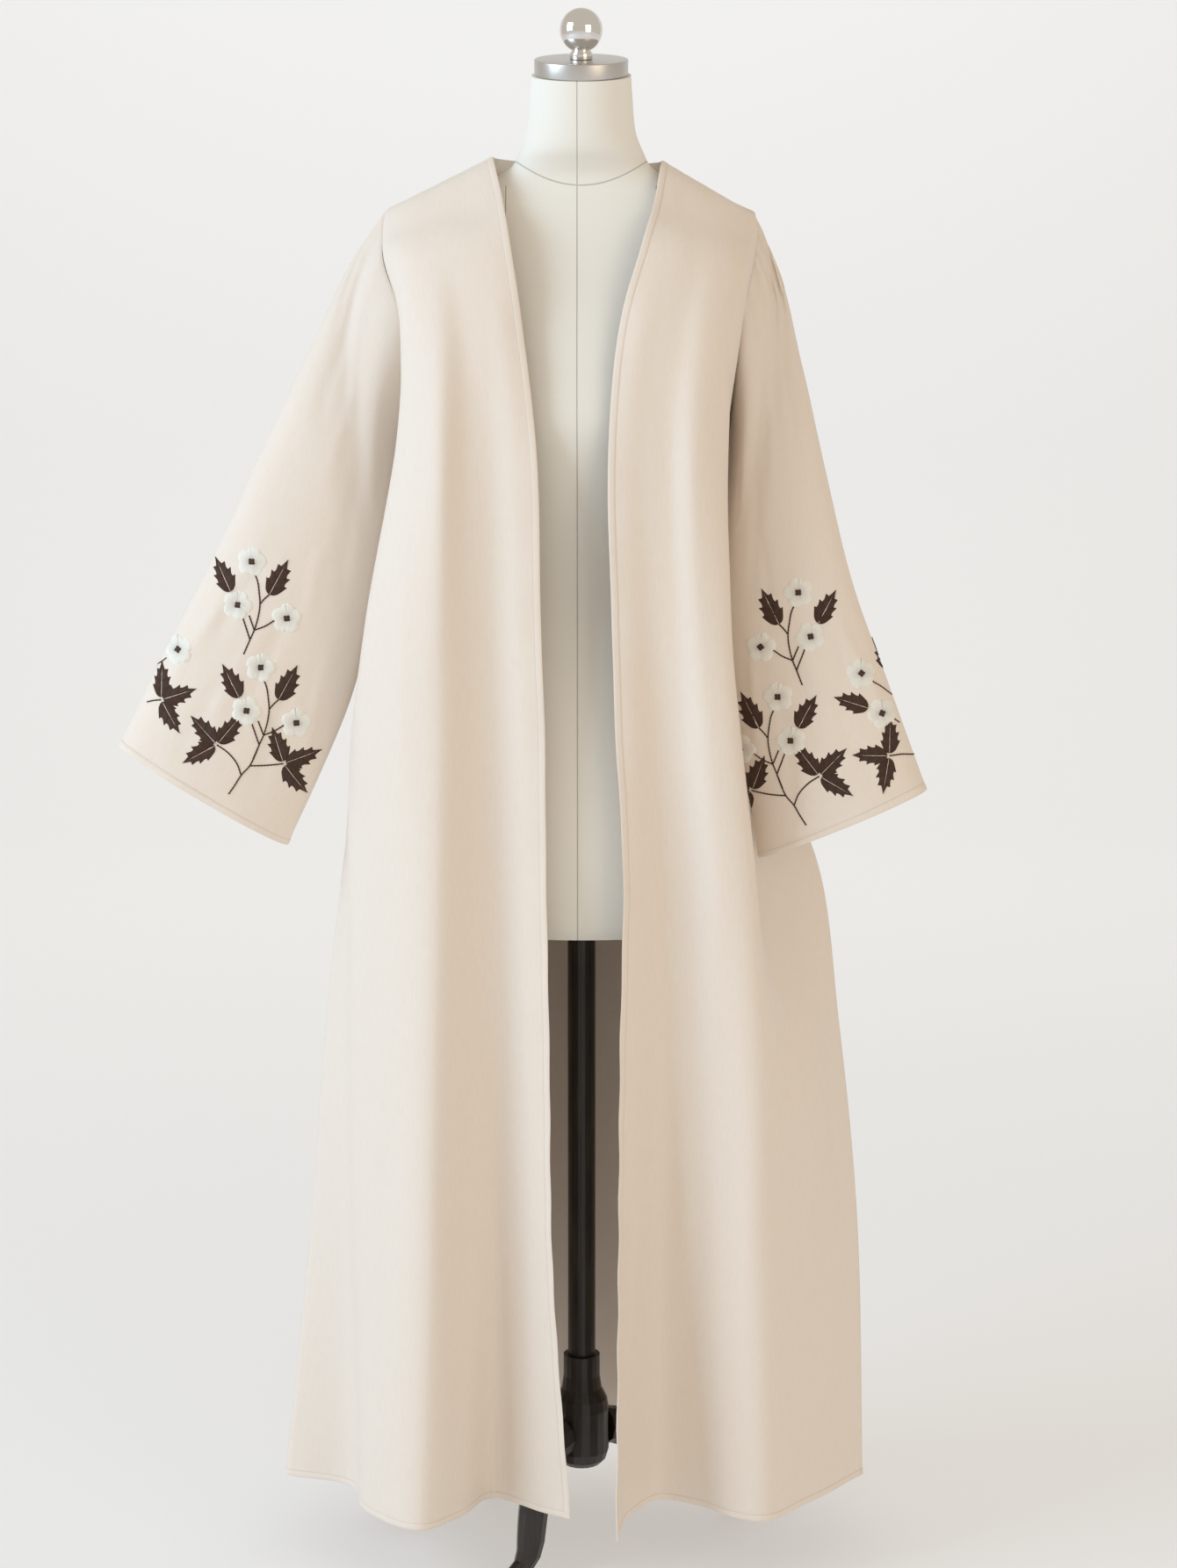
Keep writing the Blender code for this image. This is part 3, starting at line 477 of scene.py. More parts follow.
pieces = {
    "cloakFrontLeft": {"grid": leftGrid, "turn": 1, "node": "front_left"},
    "cloakFrontRight": {"grid": rightGrid, "turn": -1, "node": "front_right"},
    "cloakBack": {"grid": backGrid, "turn": 1, "node": "back"},
    "cloakSleeveLeft": {"grid": leftArm, "turn": -1, "node": "sleeve_left", "closed": True, "valley": 0.35},
    "cloakSleeveRight": {"grid": rightArm, "turn": 1, "node": "sleeve_right", "closed": True, "valley": 1.0},
}


# Soft creases on each piece, listed one by one: start and end as shares over and down the
# piece, half width in mm, and height in mm where a trough is below zero
creases = {
    "cloakFrontLeft": (
        ((0.30, 0.16), (0.36, 0.46), 16, -1.6), ((0.52, 0.20), (0.47, 0.52), 14, 1.5),
        ((0.18, 0.34), (0.14, 0.60), 13, 1.1), ((0.70, 0.14), (0.78, 0.30), 10, -1.5),
        ((0.24, 0.55), (0.30, 0.86), 18, -1.4), ((0.55, 0.60), (0.60, 0.96), 15, -1.6),
        ((0.42, 0.72), (0.40, 0.99), 12, 1.2), ((0.74, 0.52), (0.80, 0.90), 16, 1.4),
        ((0.10, 0.70), (0.16, 0.94), 11, -1.0), ((0.86, 0.40), (0.84, 0.62), 12, -1.2),
    ),
    "cloakFrontRight": (
        ((0.28, 0.15), (0.32, 0.44), 15, -1.5), ((0.50, 0.18), (0.44, 0.50), 13, 1.4),
        ((0.66, 0.12), (0.76, 0.27), 10, -1.7), ((0.16, 0.40), (0.20, 0.64), 12, 1.0),
        ((0.64, 0.12), (0.50, 0.38), 12, 1.8),
        ((0.60, 0.50), (0.56, 0.84), 17, -1.5), ((0.36, 0.62), (0.30, 0.95), 14, -1.4),
        ((0.46, 0.70), (0.50, 0.98), 12, 1.3), ((0.78, 0.56), (0.74, 0.92), 16, 1.4),
        ((0.88, 0.50), (0.92, 0.88), 14, -1.3), ((0.12, 0.72), (0.10, 0.96), 10, 0.9),
    ),
    "cloakBack": (
        ((0.30, 0.16), (0.34, 0.42), 20, -1.5), ((0.64, 0.14), (0.66, 0.46), 22, 1.4),
        ((0.46, 0.30), (0.44, 0.62), 16, -1.3), ((0.20, 0.55), (0.18, 0.92), 18, -1.6),
        ((0.38, 0.62), (0.40, 0.97), 15, 1.3), ((0.56, 0.58), (0.60, 0.95), 17, -1.5),
        ((0.76, 0.56), (0.80, 0.90), 20, 1.5), ((0.86, 0.48), (0.84, 0.76), 16, -1.2),
        ((0.12, 0.46), (0.10, 0.70), 15, 1.1), ((0.70, 0.30), (0.74, 0.52), 14, -1.1),
    ),
    "cloakSleeveLeft": (
        ((0.10, 0.14), (0.16, 0.40), 12, -1.6), ((0.24, 0.18), (0.22, 0.48), 13, 1.4),
        ((0.32, 0.30), (0.36, 0.62), 14, -1.4), ((0.12, 0.50), (0.10, 0.84), 13, 1.0),
        ((0.42, 0.16), (0.38, 0.34), 9, -1.7), ((0.62, 0.20), (0.66, 0.56), 14, -1.4),
        ((0.78, 0.30), (0.82, 0.70), 15, 1.3), ((0.90, 0.16), (0.88, 0.42), 11, -1.3),
        ((0.14, 0.56), (0.13, 0.80), 5, -1.8), ((0.20, 0.66), (0.22, 0.94), 6, 1.6),
        ((0.27, 0.60), (0.25, 0.86), 5, -1.9), ((0.33, 0.70), (0.35, 0.97), 6, -1.5),
        ((0.17, 0.78), (0.18, 0.99), 5, -1.4), ((0.40, 0.62), (0.41, 0.88), 6, 1.7),
        ((0.08, 0.66), (0.09, 0.90), 6, 1.5), ((0.30, 0.48), (0.29, 0.66), 5, 1.4),
        ((0.72, 0.62), (0.74, 0.92), 5, -1.0), ((0.84, 0.58), (0.82, 0.84), 4, 0.9),
    ),
    "cloakSleeveRight": (
        ((0.08, 0.13), (0.14, 0.44), 11, -1.8), ((0.20, 0.14), (0.24, 0.46), 12, 1.5),
        ((0.30, 0.28), (0.34, 0.60), 13, -1.5), ((0.14, 0.52), (0.12, 0.86), 13, 1.0),
        ((0.40, 0.20), (0.38, 0.40), 9, -1.4), ((0.62, 0.22), (0.66, 0.58), 13, -1.4),
        ((0.80, 0.30), (0.84, 0.68), 14, 1.3), ((0.92, 0.14), (0.90, 0.40), 10, -1.3),
        ((0.085, -0.05), (0.17, 0.12), 3.5, -2.4), ((0.06, -0.05), (0.105, 0.16), 3.5, -2.3),
        ((0.038, -0.05), (0.06, 0.18), 3.5, -1.9), ((0.02, -0.04), (0.022, 0.30), 5.0, -1.5),
        ((0.13, -0.06), (0.25, 0.14), 5.0, -1.8), ((0.072, -0.04), (0.14, 0.13), 3.0, 1.3),
        ((0.15, 0.58), (0.14, 0.82), 5, -1.7), ((0.21, 0.64), (0.23, 0.92), 6, 1.5),
        ((0.28, 0.62), (0.26, 0.88), 5, -1.9), ((0.34, 0.72), (0.36, 0.97), 6, -1.5),
        ((0.18, 0.80), (0.17, 0.99), 5, -1.4), ((0.40, 0.60), (0.42, 0.86), 6, 1.7),
        ((0.09, 0.64), (0.08, 0.88), 6, 1.5), ((0.31, 0.46), (0.30, 0.66), 5, -1.6),
        ((0.70, 0.60), (0.73, 0.90), 5, -1.0), ((0.83, 0.56), (0.81, 0.82), 4, 0.9),
    ),
}


def creaseRise(name, grid, closed):
    # height of the soft creases at each point of a piece
    down = arcLengths(grid, 0)
    loopGrid = np.concatenate([grid, grid[:, :1]], axis=1) if closed else grid
    over = arcLengths(loopGrid, 1)
    wide = over[:, -1:]
    downShare = down / down[-1:]
    over = over[:, :grid.shape[1]]
    total = np.zeros(grid.shape[:2])
    for start, end, half, height in creases[name]:
        t = (downShare - start[1]) / (end[1] - start[1])
        drift = 0.012 * np.sin(5.2 * t + start[0] * 9)
        middle = start[0] + (end[0] - start[0]) * t + drift
        away = (over / wide - middle) * wide / (half * mm)
        ends = smoothStep(t / 0.35) * smoothStep((1 - t) / 0.35)
        total += height * mm * np.exp(-away ** 2) * ends
    return total


def edgeWave(name, grid, closed):
    # a slight waviness along the turned edges, in metres along the normal
    down = arcLengths(grid, 0)
    over = arcLengths(grid, 1)
    reach = cloth["waveReach"]
    swing = np.sin(over * 2 * math.pi / 0.083 + 2 * np.sin(over * 9))
    bottom = np.exp(-((down[-1] - down) / reach) ** 2) * swing
    if closed or name == "cloakBack":
        return cloth["waveHeight"] * bottom
    side = np.exp(-(over / reach) ** 2) * np.sin(down * 2 * math.pi / 0.094 + 2.5 * np.sin(down * 5))
    return cloth["waveHeight"] * (bottom + side * smoothStep(down / 0.1))


def rises(name, grid, closed):
    # heights of turned hems and of seams, in metres along the normal
    down = arcLengths(grid, 0)
    fromEnd = down[-1] - down
    rise = profile(fromEnd, cloth["hemSteps"], cloth["hemRise"])
    if closed:
        valley = profile(down, cloth["armholeSteps"], cloth["armholeRise"]) * pieces[name]["valley"]
        return rise + profile(down, cloth["seamSteps"], cloth["seamRise"]) + valley
    over = arcLengths(grid, 1)
    fromSide = over[:, -1:] - over
    side = profile(fromSide, cloth["seamSteps"], cloth["seamRise"])
    if name == "cloakBack":
        return rise + side + profile(over, cloth["seamSteps"], cloth["seamRise"])
    edge = profile(over, cloth["hemSteps"], cloth["hemRise"])
    return np.maximum(rise, edge) + side


clothPieces = {}
for name, piece in pieces.items():
    closed = piece.get("closed", False)
    normals = piece["turn"] * surfaceNormals(piece["grid"], closed)
    height = rises(name, piece["grid"], closed) + creaseRise(name, piece["grid"], closed)
    height += edgeWave(name, piece["grid"], closed)
    grid = piece["grid"] + normals * height[..., None]
    piece["finished"] = grid
    clothPieces[name] = shell(name, grid, piece["turn"] * surfaceNormals(grid, closed), closed)
print("cloak pieces made")


# Materials
def newMaterial(name, colour, roughness, metallic=0.0, **sockets):
    made = bpy.data.materials.new(name)
    made.use_nodes = True
    shader = made.node_tree.nodes["Principled BSDF"]
    shader.inputs["Base Color"].default_value = (*colour, 1)
    shader.inputs["Roughness"].default_value = roughness
    shader.inputs["Metallic"].default_value = metallic
    for socket, value in sockets.items():
        shader.inputs[socket].default_value = value
    return made


def link(tree, kind, operation=None, **inputs):
    # a node with some inputs set to values and others joined to sockets
    node = tree.nodes.new(kind)
    if operation:
        node.operation = operation
    for key, value in inputs.items():
        socket = node.inputs[int(key[1:])] if key[0] == "i" and key[1:].isdigit() else node.inputs[key]
        if isinstance(value, bpy.types.NodeSocket):
            tree.links.new(value, socket)
        else:
            socket.default_value = value
    return node


def math2(tree, operation, first, second=0.0):
    return link(tree, "ShaderNodeMath", operation, i0=first, i1=second).outputs[0]


def ramp(tree, factor, stops):
    node = link(tree, "ShaderNodeValToRGB", Fac=factor)
    elements = node.color_ramp.elements
    while len(elements) < len(stops):
        elements.new(0.5)
    for element, (place, colour) in zip(elements, stops):
        element.position = place
        element.color = (*colour, 1)
    return node.outputs[0]


def separated(tree, vector):
    node = link(tree, "ShaderNodeSeparateXYZ", Vector=vector)
    return node.outputs


def uvMap(tree, name):
    node = tree.nodes.new("ShaderNodeUVMap")
    node.uv_map = name
    return node.outputs[0]


def bumpInto(tree, height, distance, strength=1.0):
    bump = link(tree, "ShaderNodeBump", Height=height, Distance=distance, Strength=strength)
    tree.links.new(bump.outputs[0], tree.nodes["Principled BSDF"].inputs["Normal"])
    return bump


def clothLook():
    # smooth fine cloth: a faint weave, small slubs, and a line of stitches inside each turned edge
    sheen = {"Sheen Weight": 0.18, "Sheen Roughness": 0.35}
    made = newMaterial("cloak cloth", cloth["colour"], 0.62, **sheen)
    tree = made.node_tree
    flat = uvMap(tree, "cloth")
    u, v, _ = separated(tree, flat)
    threads = 2 * math.pi / cloth["threadPitch"]
    warp = math2(tree, "SINE", math2(tree, "MULTIPLY", u, threads))
    weft = math2(tree, "SINE", math2(tree, "MULTIPLY", v, threads))
    weave = math2(tree, "MULTIPLY", warp, weft)
    slubs = link(tree, "ShaderNodeMapping", Vector=flat, Scale=(420, 60, 1)).outputs[0]
    slub = link(tree, "ShaderNodeTexNoise", Vector=slubs, Scale=1.0, Detail=3.0).outputs["Fac"]
    crumple = link(tree, "ShaderNodeTexNoise", Vector=flat, Scale=24.0, Detail=3.0, Roughness=0.45)
    crumple = crumple.outputs["Fac"]
    hem = separated(tree, uvMap(tree, "hem"))
    offLine = math2(tree, "ABSOLUTE", math2(tree, "SUBTRACT", hem[0], cloth["stitchLine"]))
    onLine = math2(tree, "LESS_THAN", offLine, 0.45 * mm)
    dash = math2(tree, "SINE", math2(tree, "MULTIPLY", hem[1], 2 * math.pi / cloth["stitchPitch"]))
    stitch = math2(tree, "MULTIPLY", onLine, math2(tree, "GREATER_THAN", dash, -0.35))
    height = math2(tree, "ADD", math2(tree, "MULTIPLY", weave, 0.05), math2(tree, "MULTIPLY", slub, 0.10))
    height = math2(tree, "ADD", height, math2(tree, "MULTIPLY", crumple, 0.9))
    height = math2(tree, "SUBTRACT", height, math2(tree, "MULTIPLY", stitch, 0.35))
    bumpInto(tree, height, 1.0 * mm, 0.8)
    tone = ramp(tree, slub, ((0.3, cloth["shadeColour"]), (0.7, cloth["colour"])))
    mix = tree.nodes.new("ShaderNodeMixRGB")
    tree.links.new(math2(tree, "MULTIPLY", onLine, 0.3), mix.inputs[0])
    tree.links.new(tone, mix.inputs[1])
    mix.inputs[2].default_value = (*cloth["stitchColour"], 1)
    tree.links.new(mix.outputs[0], tree.nodes["Principled BSDF"].inputs["Base Color"])
    return made


def threadLook(name, light, dark, pitch):
    # satin stitches that run along v, so their ridges follow u
    made = newMaterial(name, light, 0.6, **{"Specular IOR Level": 0.3})
    tree = made.node_tree
    u, v, _ = separated(tree, uvMap(tree, "stitch"))
    ridge = math2(tree, "SINE", math2(tree, "MULTIPLY", u, 2 * math.pi / pitch))
    noise = link(tree, "ShaderNodeTexNoise", Vector=uvMap(tree, "stitch"), Scale=900.0, Detail=2.0)
    noise = noise.outputs["Fac"]
    # the tone mixes random noise with the stitch ridges: painted highlight on each ridge and painted shade in
    # the grooves between them
    tone = math2(tree, "ADD", math2(tree, "MULTIPLY", ridge, 0.16), noise)
    colour = ramp(tree, tone, ((0.3, dark), (0.7, light)))
    tree.links.new(colour, tree.nodes["Principled BSDF"].inputs["Base Color"])
    bumpInto(tree, ridge, 0.12 * mm, 0.9)
    return made


def canvasLook():
    # tight canvas with seams at the centre front, the sides of the front, the neckline and the neck
    made = newMaterial("form canvas", form["colour"], 0.85)
    tree = made.node_tree
    place = tree.nodes.new("ShaderNodeTexCoord").outputs["Object"]
    x, y, z = separated(tree, place)
    x = math2(tree, "SUBTRACT", x, float(axis[0]))
    square = math2(tree, "MULTIPLY", x, x)
    middle = math2(tree, "ABSOLUTE", math2(tree, "SUBTRACT", x, form["frontSeam"]))
    panel = math2(tree, "ABSOLUTE", math2(tree, "SUBTRACT", math2(tree, "ABSOLUTE", x), form["panelSeam"]))
    onNeck = math2(tree, "MULTIPLY", math2(tree, "GREATER_THAN", z, form["neckSeam"]), 1.0)
    panelHigh = math2(tree, "ADD", panel, onNeck)
    arc = math2(tree, "ADD", math2(tree, "MULTIPLY", square, form["neckSeamRise"]), form["neckSeam"])
    neck = math2(tree, "ABSOLUTE", math2(tree, "SUBTRACT", z, arc))
    nearest = math2(tree, "MINIMUM", middle, math2(tree, "MINIMUM", panelHigh, neck))
    groove = math2(tree, "DIVIDE", nearest, form["seamHalfWidth"])
    groove = math2(tree, "MINIMUM", groove, 1.0)
    weave = link(tree, "ShaderNodeTexNoise", Vector=place, Scale=900.0, Detail=2.0).outputs["Fac"]
    height = math2(tree, "ADD", math2(tree, "MULTIPLY", groove, 1.0), math2(tree, "MULTIPLY", weave, 0.15))
    bumpInto(tree, height, 0.7 * mm)
    colour = ramp(tree, groove, ((0.0, form["seamColour"]), (0.8, form["colour"])))
    tree.links.new(colour, tree.nodes["Principled BSDF"].inputs["Base Color"])
    return made


def brushedLook():
    # fine rings round the cap's top and along its edge
    made = newMaterial("brushed steel", (0.60, 0.585, 0.565), 0.32, 1.0)
    tree = made.node_tree
    place = tree.nodes.new("ShaderNodeTexCoord").outputs["Object"]
    stretched = link(tree, "ShaderNodeMapping", Vector=place, Scale=(20, 20, 900)).outputs[0]
    grain = link(tree, "ShaderNodeTexNoise", Vector=stretched, Scale=6.0, Detail=4.0).outputs["Fac"]
    rough = link(tree, "ShaderNodeMapRange", Value=grain)
    rough.inputs["To Min"].default_value = 0.24
    rough.inputs["To Max"].default_value = 0.42
    tree.links.new(rough.outputs[0], tree.nodes["Principled BSDF"].inputs["Roughness"])
    bumpInto(tree, grain, 0.05 * mm)
    return made


def woodLook():
    # dark satin wood with faint lengthwise grain
    made = newMaterial("dark satin wood", (0.024, 0.018, 0.014), 0.34)
    tree = made.node_tree
    place = tree.nodes.new("ShaderNodeTexCoord").outputs["Object"]
    stretched = link(tree, "ShaderNodeMapping", Vector=place, Scale=(160, 160, 14)).outputs[0]
    grain = link(tree, "ShaderNodeTexNoise", Vector=stretched, Scale=1.0, Detail=5.0).outputs["Fac"]
    colour = ramp(tree, grain, ((0.35, (0.016, 0.012, 0.010)), (0.7, (0.036, 0.026, 0.020))))
    tree.links.new(colour, tree.nodes["Principled BSDF"].inputs["Base Color"])
    bumpInto(tree, grain, 0.15 * mm)
    return made


clothMaterial = clothLook()
brownThread = threadLook("brown thread", (0.100, 0.052, 0.034), (0.036, 0.017, 0.011), 0.8 * mm)
creamThread = threadLook("cream thread", (0.95, 0.94, 0.89), (0.80, 0.77, 0.69), 0.9 * mm)
canvasMaterial = canvasLook()
capMaterial = brushedLook()
ballMaterial = newMaterial("polished steel", (0.80, 0.79, 0.78), 0.07, 1.0)
standMaterial = woodLook()

for name, obj in clothPieces.items():
    obj.data.materials.append(clothMaterial)
    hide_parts(pieces[name]["node"])
    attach(obj, "root")

for node in ("pole", "hub", "leg_front", "leg_back_left", "leg_back_right"):
    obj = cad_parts[node]
    obj.data.materials.clear()
    obj.data.materials.append(standMaterial)


# Dress form: the covered torso and neck, the cap, and the ball on its collar
def formSurface():
    rows, columns = form["rows"], form["columns"]
    table = np.array(formRings) * mm
    heights = through(range(len(table)), table, np.linspace(0, len(table) - 1, rows))
    turn = np.arange(columns) * 2 * math.pi / columns
    power = 2 / formRoundness
    rings = []
    for height, width, ahead, behind in heights:
        depth = np.where(np.sin(turn) > 0, behind, ahead)
        deep = depth * np.sign(np.sin(turn)) * abs(np.sin(turn)) ** power
        lean = smoothStep((height - neckRoot) / (table[-1, 0] - neckRoot))
        rise = height + lean * (math.tan(neckSlope) * deep + neckTop[2] - 0.3 * mm - table[-1, 0])
        wide = width * np.sign(np.cos(turn)) * abs(np.cos(turn)) ** power
        rings.append(np.column_stack([wide, deep, rise]))
    return np.array(rings)


def closedRings(name, rings):
    # a closed skin through rings of points, with a flat face at each end
    rows, columns = rings.shape[:2]
    faces = [tuple(reversed(range(columns))), tuple((rows - 1) * columns + c for c in range(columns))]
    for r in range(rows - 1):
        for c in range(columns):
            n = (c + 1) % columns
            faces.append((r * columns + c, r * columns + n, (r + 1) * columns + n, (r + 1) * columns + c))
    mesh = bpy.data.meshes.new(name)
    mesh.from_pydata((rings.reshape(-1, 3) + axis).tolist(), [], faces)
    mesh.shade_smooth()
    mesh.set_sharp_from_angle(angle=math.radians(50))
    obj = bpy.data.objects.new(name, mesh)
    bpy.context.scene.collection.objects.link(obj)
    return obj


def settle(name, made, node=None):
    # the active object leaned with the neck's top, its place put into its mesh
    obj = bpy.context.object
    obj.name = name
    obj.matrix_world = Matrix.Translation(Vector(neckTop) + Vector(axis)) @ Matrix.Rotation(neckSlope, 4, "X") \
        @ obj.matrix_world
    bpy.ops.object.transform_apply(location=True, rotation=True, scale=True)
    obj.data.shade_smooth()
    obj.data.set_sharp_from_angle(angle=math.radians(40))
    obj.data.materials.clear()
    obj.data.materials.append(made)
    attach(obj, "root")
    if node:
        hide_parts(node)
    obj.select_set(False)
    return obj


def softenEdges(width, segments):
    bevel = bpy.context.object.modifiers.new("bevel", "BEVEL")
    bevel.width = width
    bevel.segments = segments
    bevel.limit_method = "ANGLE"
    bpy.ops.object.modifier_apply(modifier="bevel")


torso = closedRings("formCanvas", formSurface())
torso.data.materials.append(canvasMaterial)
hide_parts("form_torso")
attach(torso, "root")

bpy.ops.mesh.primitive_cylinder_add(vertices=144, radius=capRadius, depth=capThick,
                                    location=(0, 0, capThick / 2))
softenEdges(1.1 * mm, 4)
settle("formCap", capMaterial, "neck_cap")

collarFoot = capThick + 0.3 * mm
ballSeat = math.sqrt(ballRadius ** 2 - collarTopRadius ** 2)
ballMiddle = collarFoot + collarHeight + ballSeat
bpy.ops.mesh.primitive_uv_sphere_add(segments=96, ring_count=64, radius=ballRadius,
                                     location=(0, 0, ballMiddle))
settle("formBall", ballMaterial, "finial")
bpy.ops.mesh.primitive_cylinder_add(vertices=96, radius=collarRadius, depth=collarSide,
                                    location=(0, 0, collarFoot + collarSide / 2))
softenEdges(0.8 * mm, 3)
settle("formCollar", ballMaterial, None)
bpy.ops.mesh.primitive_cone_add(vertices=96, radius1=collarTopRadius + 1.4 * mm,
                                radius2=collarTopRadius - 0.6 * mm,
                                depth=3.4 * mm, location=(0, 0, collarFoot + collarSide + 1.4 * mm))
softenEdges(0.5 * mm, 3)
settle("formCollarTop", ballMaterial, None)
print("dress form made")

# Embroidery. Each sprig stands in mm: x across and z up, seen from the front, from the stand's
# axis and the floor. Headings are degrees from upright, clockwise as seen.
leafSide = ((0, 0), (0.10, 0.02), (0.18, 0.09), (0.24, 0.20), (0.32, 0.37), (0.24, 0.36), (0.23, 0.44),
            (0.29, 0.60), (0.19, 0.57), (0.17, 0.65), (0.20, 0.80), (0.09, 0.78), (0.0, 1.0))
sprigTop = {
    "flowers": ((2.5, 81), (-12.6, 36), (38, 22)),
    "leaves": ((-20, 50, -26, 39), (20.5, 47, 29, 41)),
    "stems": (
        ((-6.6, -15), (0, 0), (4.5, 10), (8, 21), (10.7, 37), (10, 49), (8, 62), (4.6, 70)),
        ((0, 0), (-4, 12.5), (-7.5, 23.5)),
        ((4.5, 10), (2, 17.5), (-0.8, 25.5)),
        ((4.5, 10), (15.5, 14), (25.5, 20)),
        ((10.7, 37), (15, 42), (20.5, 47)),
    ),
}
sprigFoot = {
    "threes": ((-43.5, 1, (-118, -42, 40), 38), (24.5, -20.7, (-16, 72, 146), 38)),
    "stems": (
        ((0, 0), (-4.5, -11), (-10, -21.7), (-18.9, -31.5), (-25, -41), (-32, -51)),
        ((-43.5, 1), (-32, -7.6), (-22.7, -19.8), (-18.9, -31.5)),
        ((-10, -21.7), (3.8, -22), (24.5, -20.7)),
    ),
}
# Each entry: x, z, turn in degrees, and whether the sprig has its leafy foot
sprigs = {
    "Left": {"flip": 1, "front": ((-345, 1033, 0, False), (-337, 923, 0, True)),
             "back": ((-345, 1028, 4, False), (-349, 925, -3, True))},
    "Right": {"flip": -1, "front": ((224.5, 1001, -2.5, False), (205, 892, -2, True)),
              "back": ((236, 1006, -4, False), (250, 884, 3, True))},
}
# Single motifs at the outer edges: flowers x, z; leaves x, z, heading, length; threes the same
edgeMotifs = {
    "Left": {"flowers": ((-421, 1022),), "leaves": (), "threes": ((-439, 970, (0, 72, 150), 37),),
             "stems": (((-434, 1013), (-441, 1008), (-449, 1003)), ((-439, 970), (-447, 969), (-455, 967)))},
    "Right": {"flowers": ((292, 998), (314, 956)), "leaves": ((299, 962, -72, 38), (321, 1001, -16, 36)),
              "threes": ((322, 912, (2, -88, -170), 37),),
              "stems": (((303, 990), (313, 984), (326, 974)), ((322, 912), (336, 913), (351, 911)),
                        ((325, 951), (330, 948), (334, 945)))},
}
sleeveTrees = {side: BVHTree.FromPolygons(
    [v.co for v in clothPieces["cloakSleeve" + side].data.vertices],
    [f.vertices[:] for f in clothPieces["cloakSleeve" + side].data.polygons]) for side in ("Left", "Right")}


def onSleeve(side, x, z, behind):
    # the point of the sleeve that is seen at x and z from the front, or from behind, and its normal
    way = -1 if behind else 1
    start = Vector((axis[0] + x * mm, axis[1] - way, z * mm))
    hit, normal, _, _ = sleeveTrees[side].ray_cast(start, Vector((0, way, 0)))
    if hit is None:
        hit, normal, _, _ = sleeveTrees[side].find_nearest(Vector((start.x, axis[1] - 0.035, start.z)))
    if normal.y * way > 0:
        normal = -normal
    return np.array(hit), np.array(normal)


class Stitches:
    # the points, faces and stitch UVs of one colour of thread on one sleeve
    def __init__(self):
        self.points, self.faces, self.uvs = [], [], []

    def patch(self, side, behind, flat, heights, uv, faces, reverse):
        first = len(self.points)
        for (x, z), height in zip(flat, heights):
            hit, normal = onSleeve(side, x, z, behind)
            self.points.append(hit + normal * height * mm)
        for face in faces:
            face = face[::-1] if reverse else face
            self.faces.append([first + k for k in face])
            self.uvs.extend(uv[k] for k in face)

    def build(self, name, made):
        mesh = bpy.data.meshes.new(name)
        mesh.from_pydata([tuple(p) for p in self.points], [], self.faces)
        layer = mesh.uv_layers.new(name="stitch")
        layer.data.foreach_set("uv", np.array(self.uvs, float).ravel())
        mesh.shade_smooth()
        obj = bpy.data.objects.new(name, mesh)
        bpy.context.scene.collection.objects.link(obj)
        mesh.materials.append(made)
        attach(obj, "root")
        return obj


def turned(points, heading, flip, x, z):
    # local points turned clockwise by heading, mirrored by flip, and moved to x and z
    angle = math.radians(heading)
    points = np.asarray(points, float)
    across = points[:, 0] * math.cos(angle) + points[:, 1] * math.sin(angle)
    up = points[:, 1] * math.cos(angle) - points[:, 0] * math.sin(angle)
    return np.column_stack([across * flip + x, up + z])


def gridFaces(rows, columns, closed=False):
    faces = []
    for r in range(rows - 1):
        for c in range(columns if closed else columns - 1):
            n = (c + 1) % columns
            faces.append([r * columns + c, r * columns + n, (r + 1) * columns + n, (r + 1) * columns + c])
    return faces


def addLeaf(brown, side, behind, flip, x, z, heading, length):
    # two padded halves of satin stitches, each from the rib to a toothed edge
    for half in (-1, 1):
        outline = np.array(leafSide) * [half * (1 + 0.07 * half), 1]
        lengths = np.concatenate([[0], np.cumsum(np.linalg.norm(np.diff(outline, axis=0), axis=1))])
        at = np.linspace(0, lengths[-1], stitching["leafSpokes"])
        edge = np.column_stack([np.interp(at, lengths, outline[:, k]) for k in range(2)])
        rib = np.column_stack([0 * at, np.clip(edge[:, 1] - 0.6 * abs(edge[:, 0]), 0, 1)])
        share = np.linspace(0, 1, len(stitching["leafHeights"]))
        points = rib[:, None] + (edge - rib)[:, None] * share[None, :, None]
        flat = turned(points.reshape(-1, 2) * length, heading, flip, x, z)
        heights = np.tile(stitching["leafHeights"], len(at))
        uv = np.column_stack([np.repeat(at * length * mm, len(share)),
                              np.tile(share * length * 0.3 * mm, len(at))])
        brown.patch(side, behind, flat, heights, uv, gridFaces(len(at), len(share)), half * flip > 0)


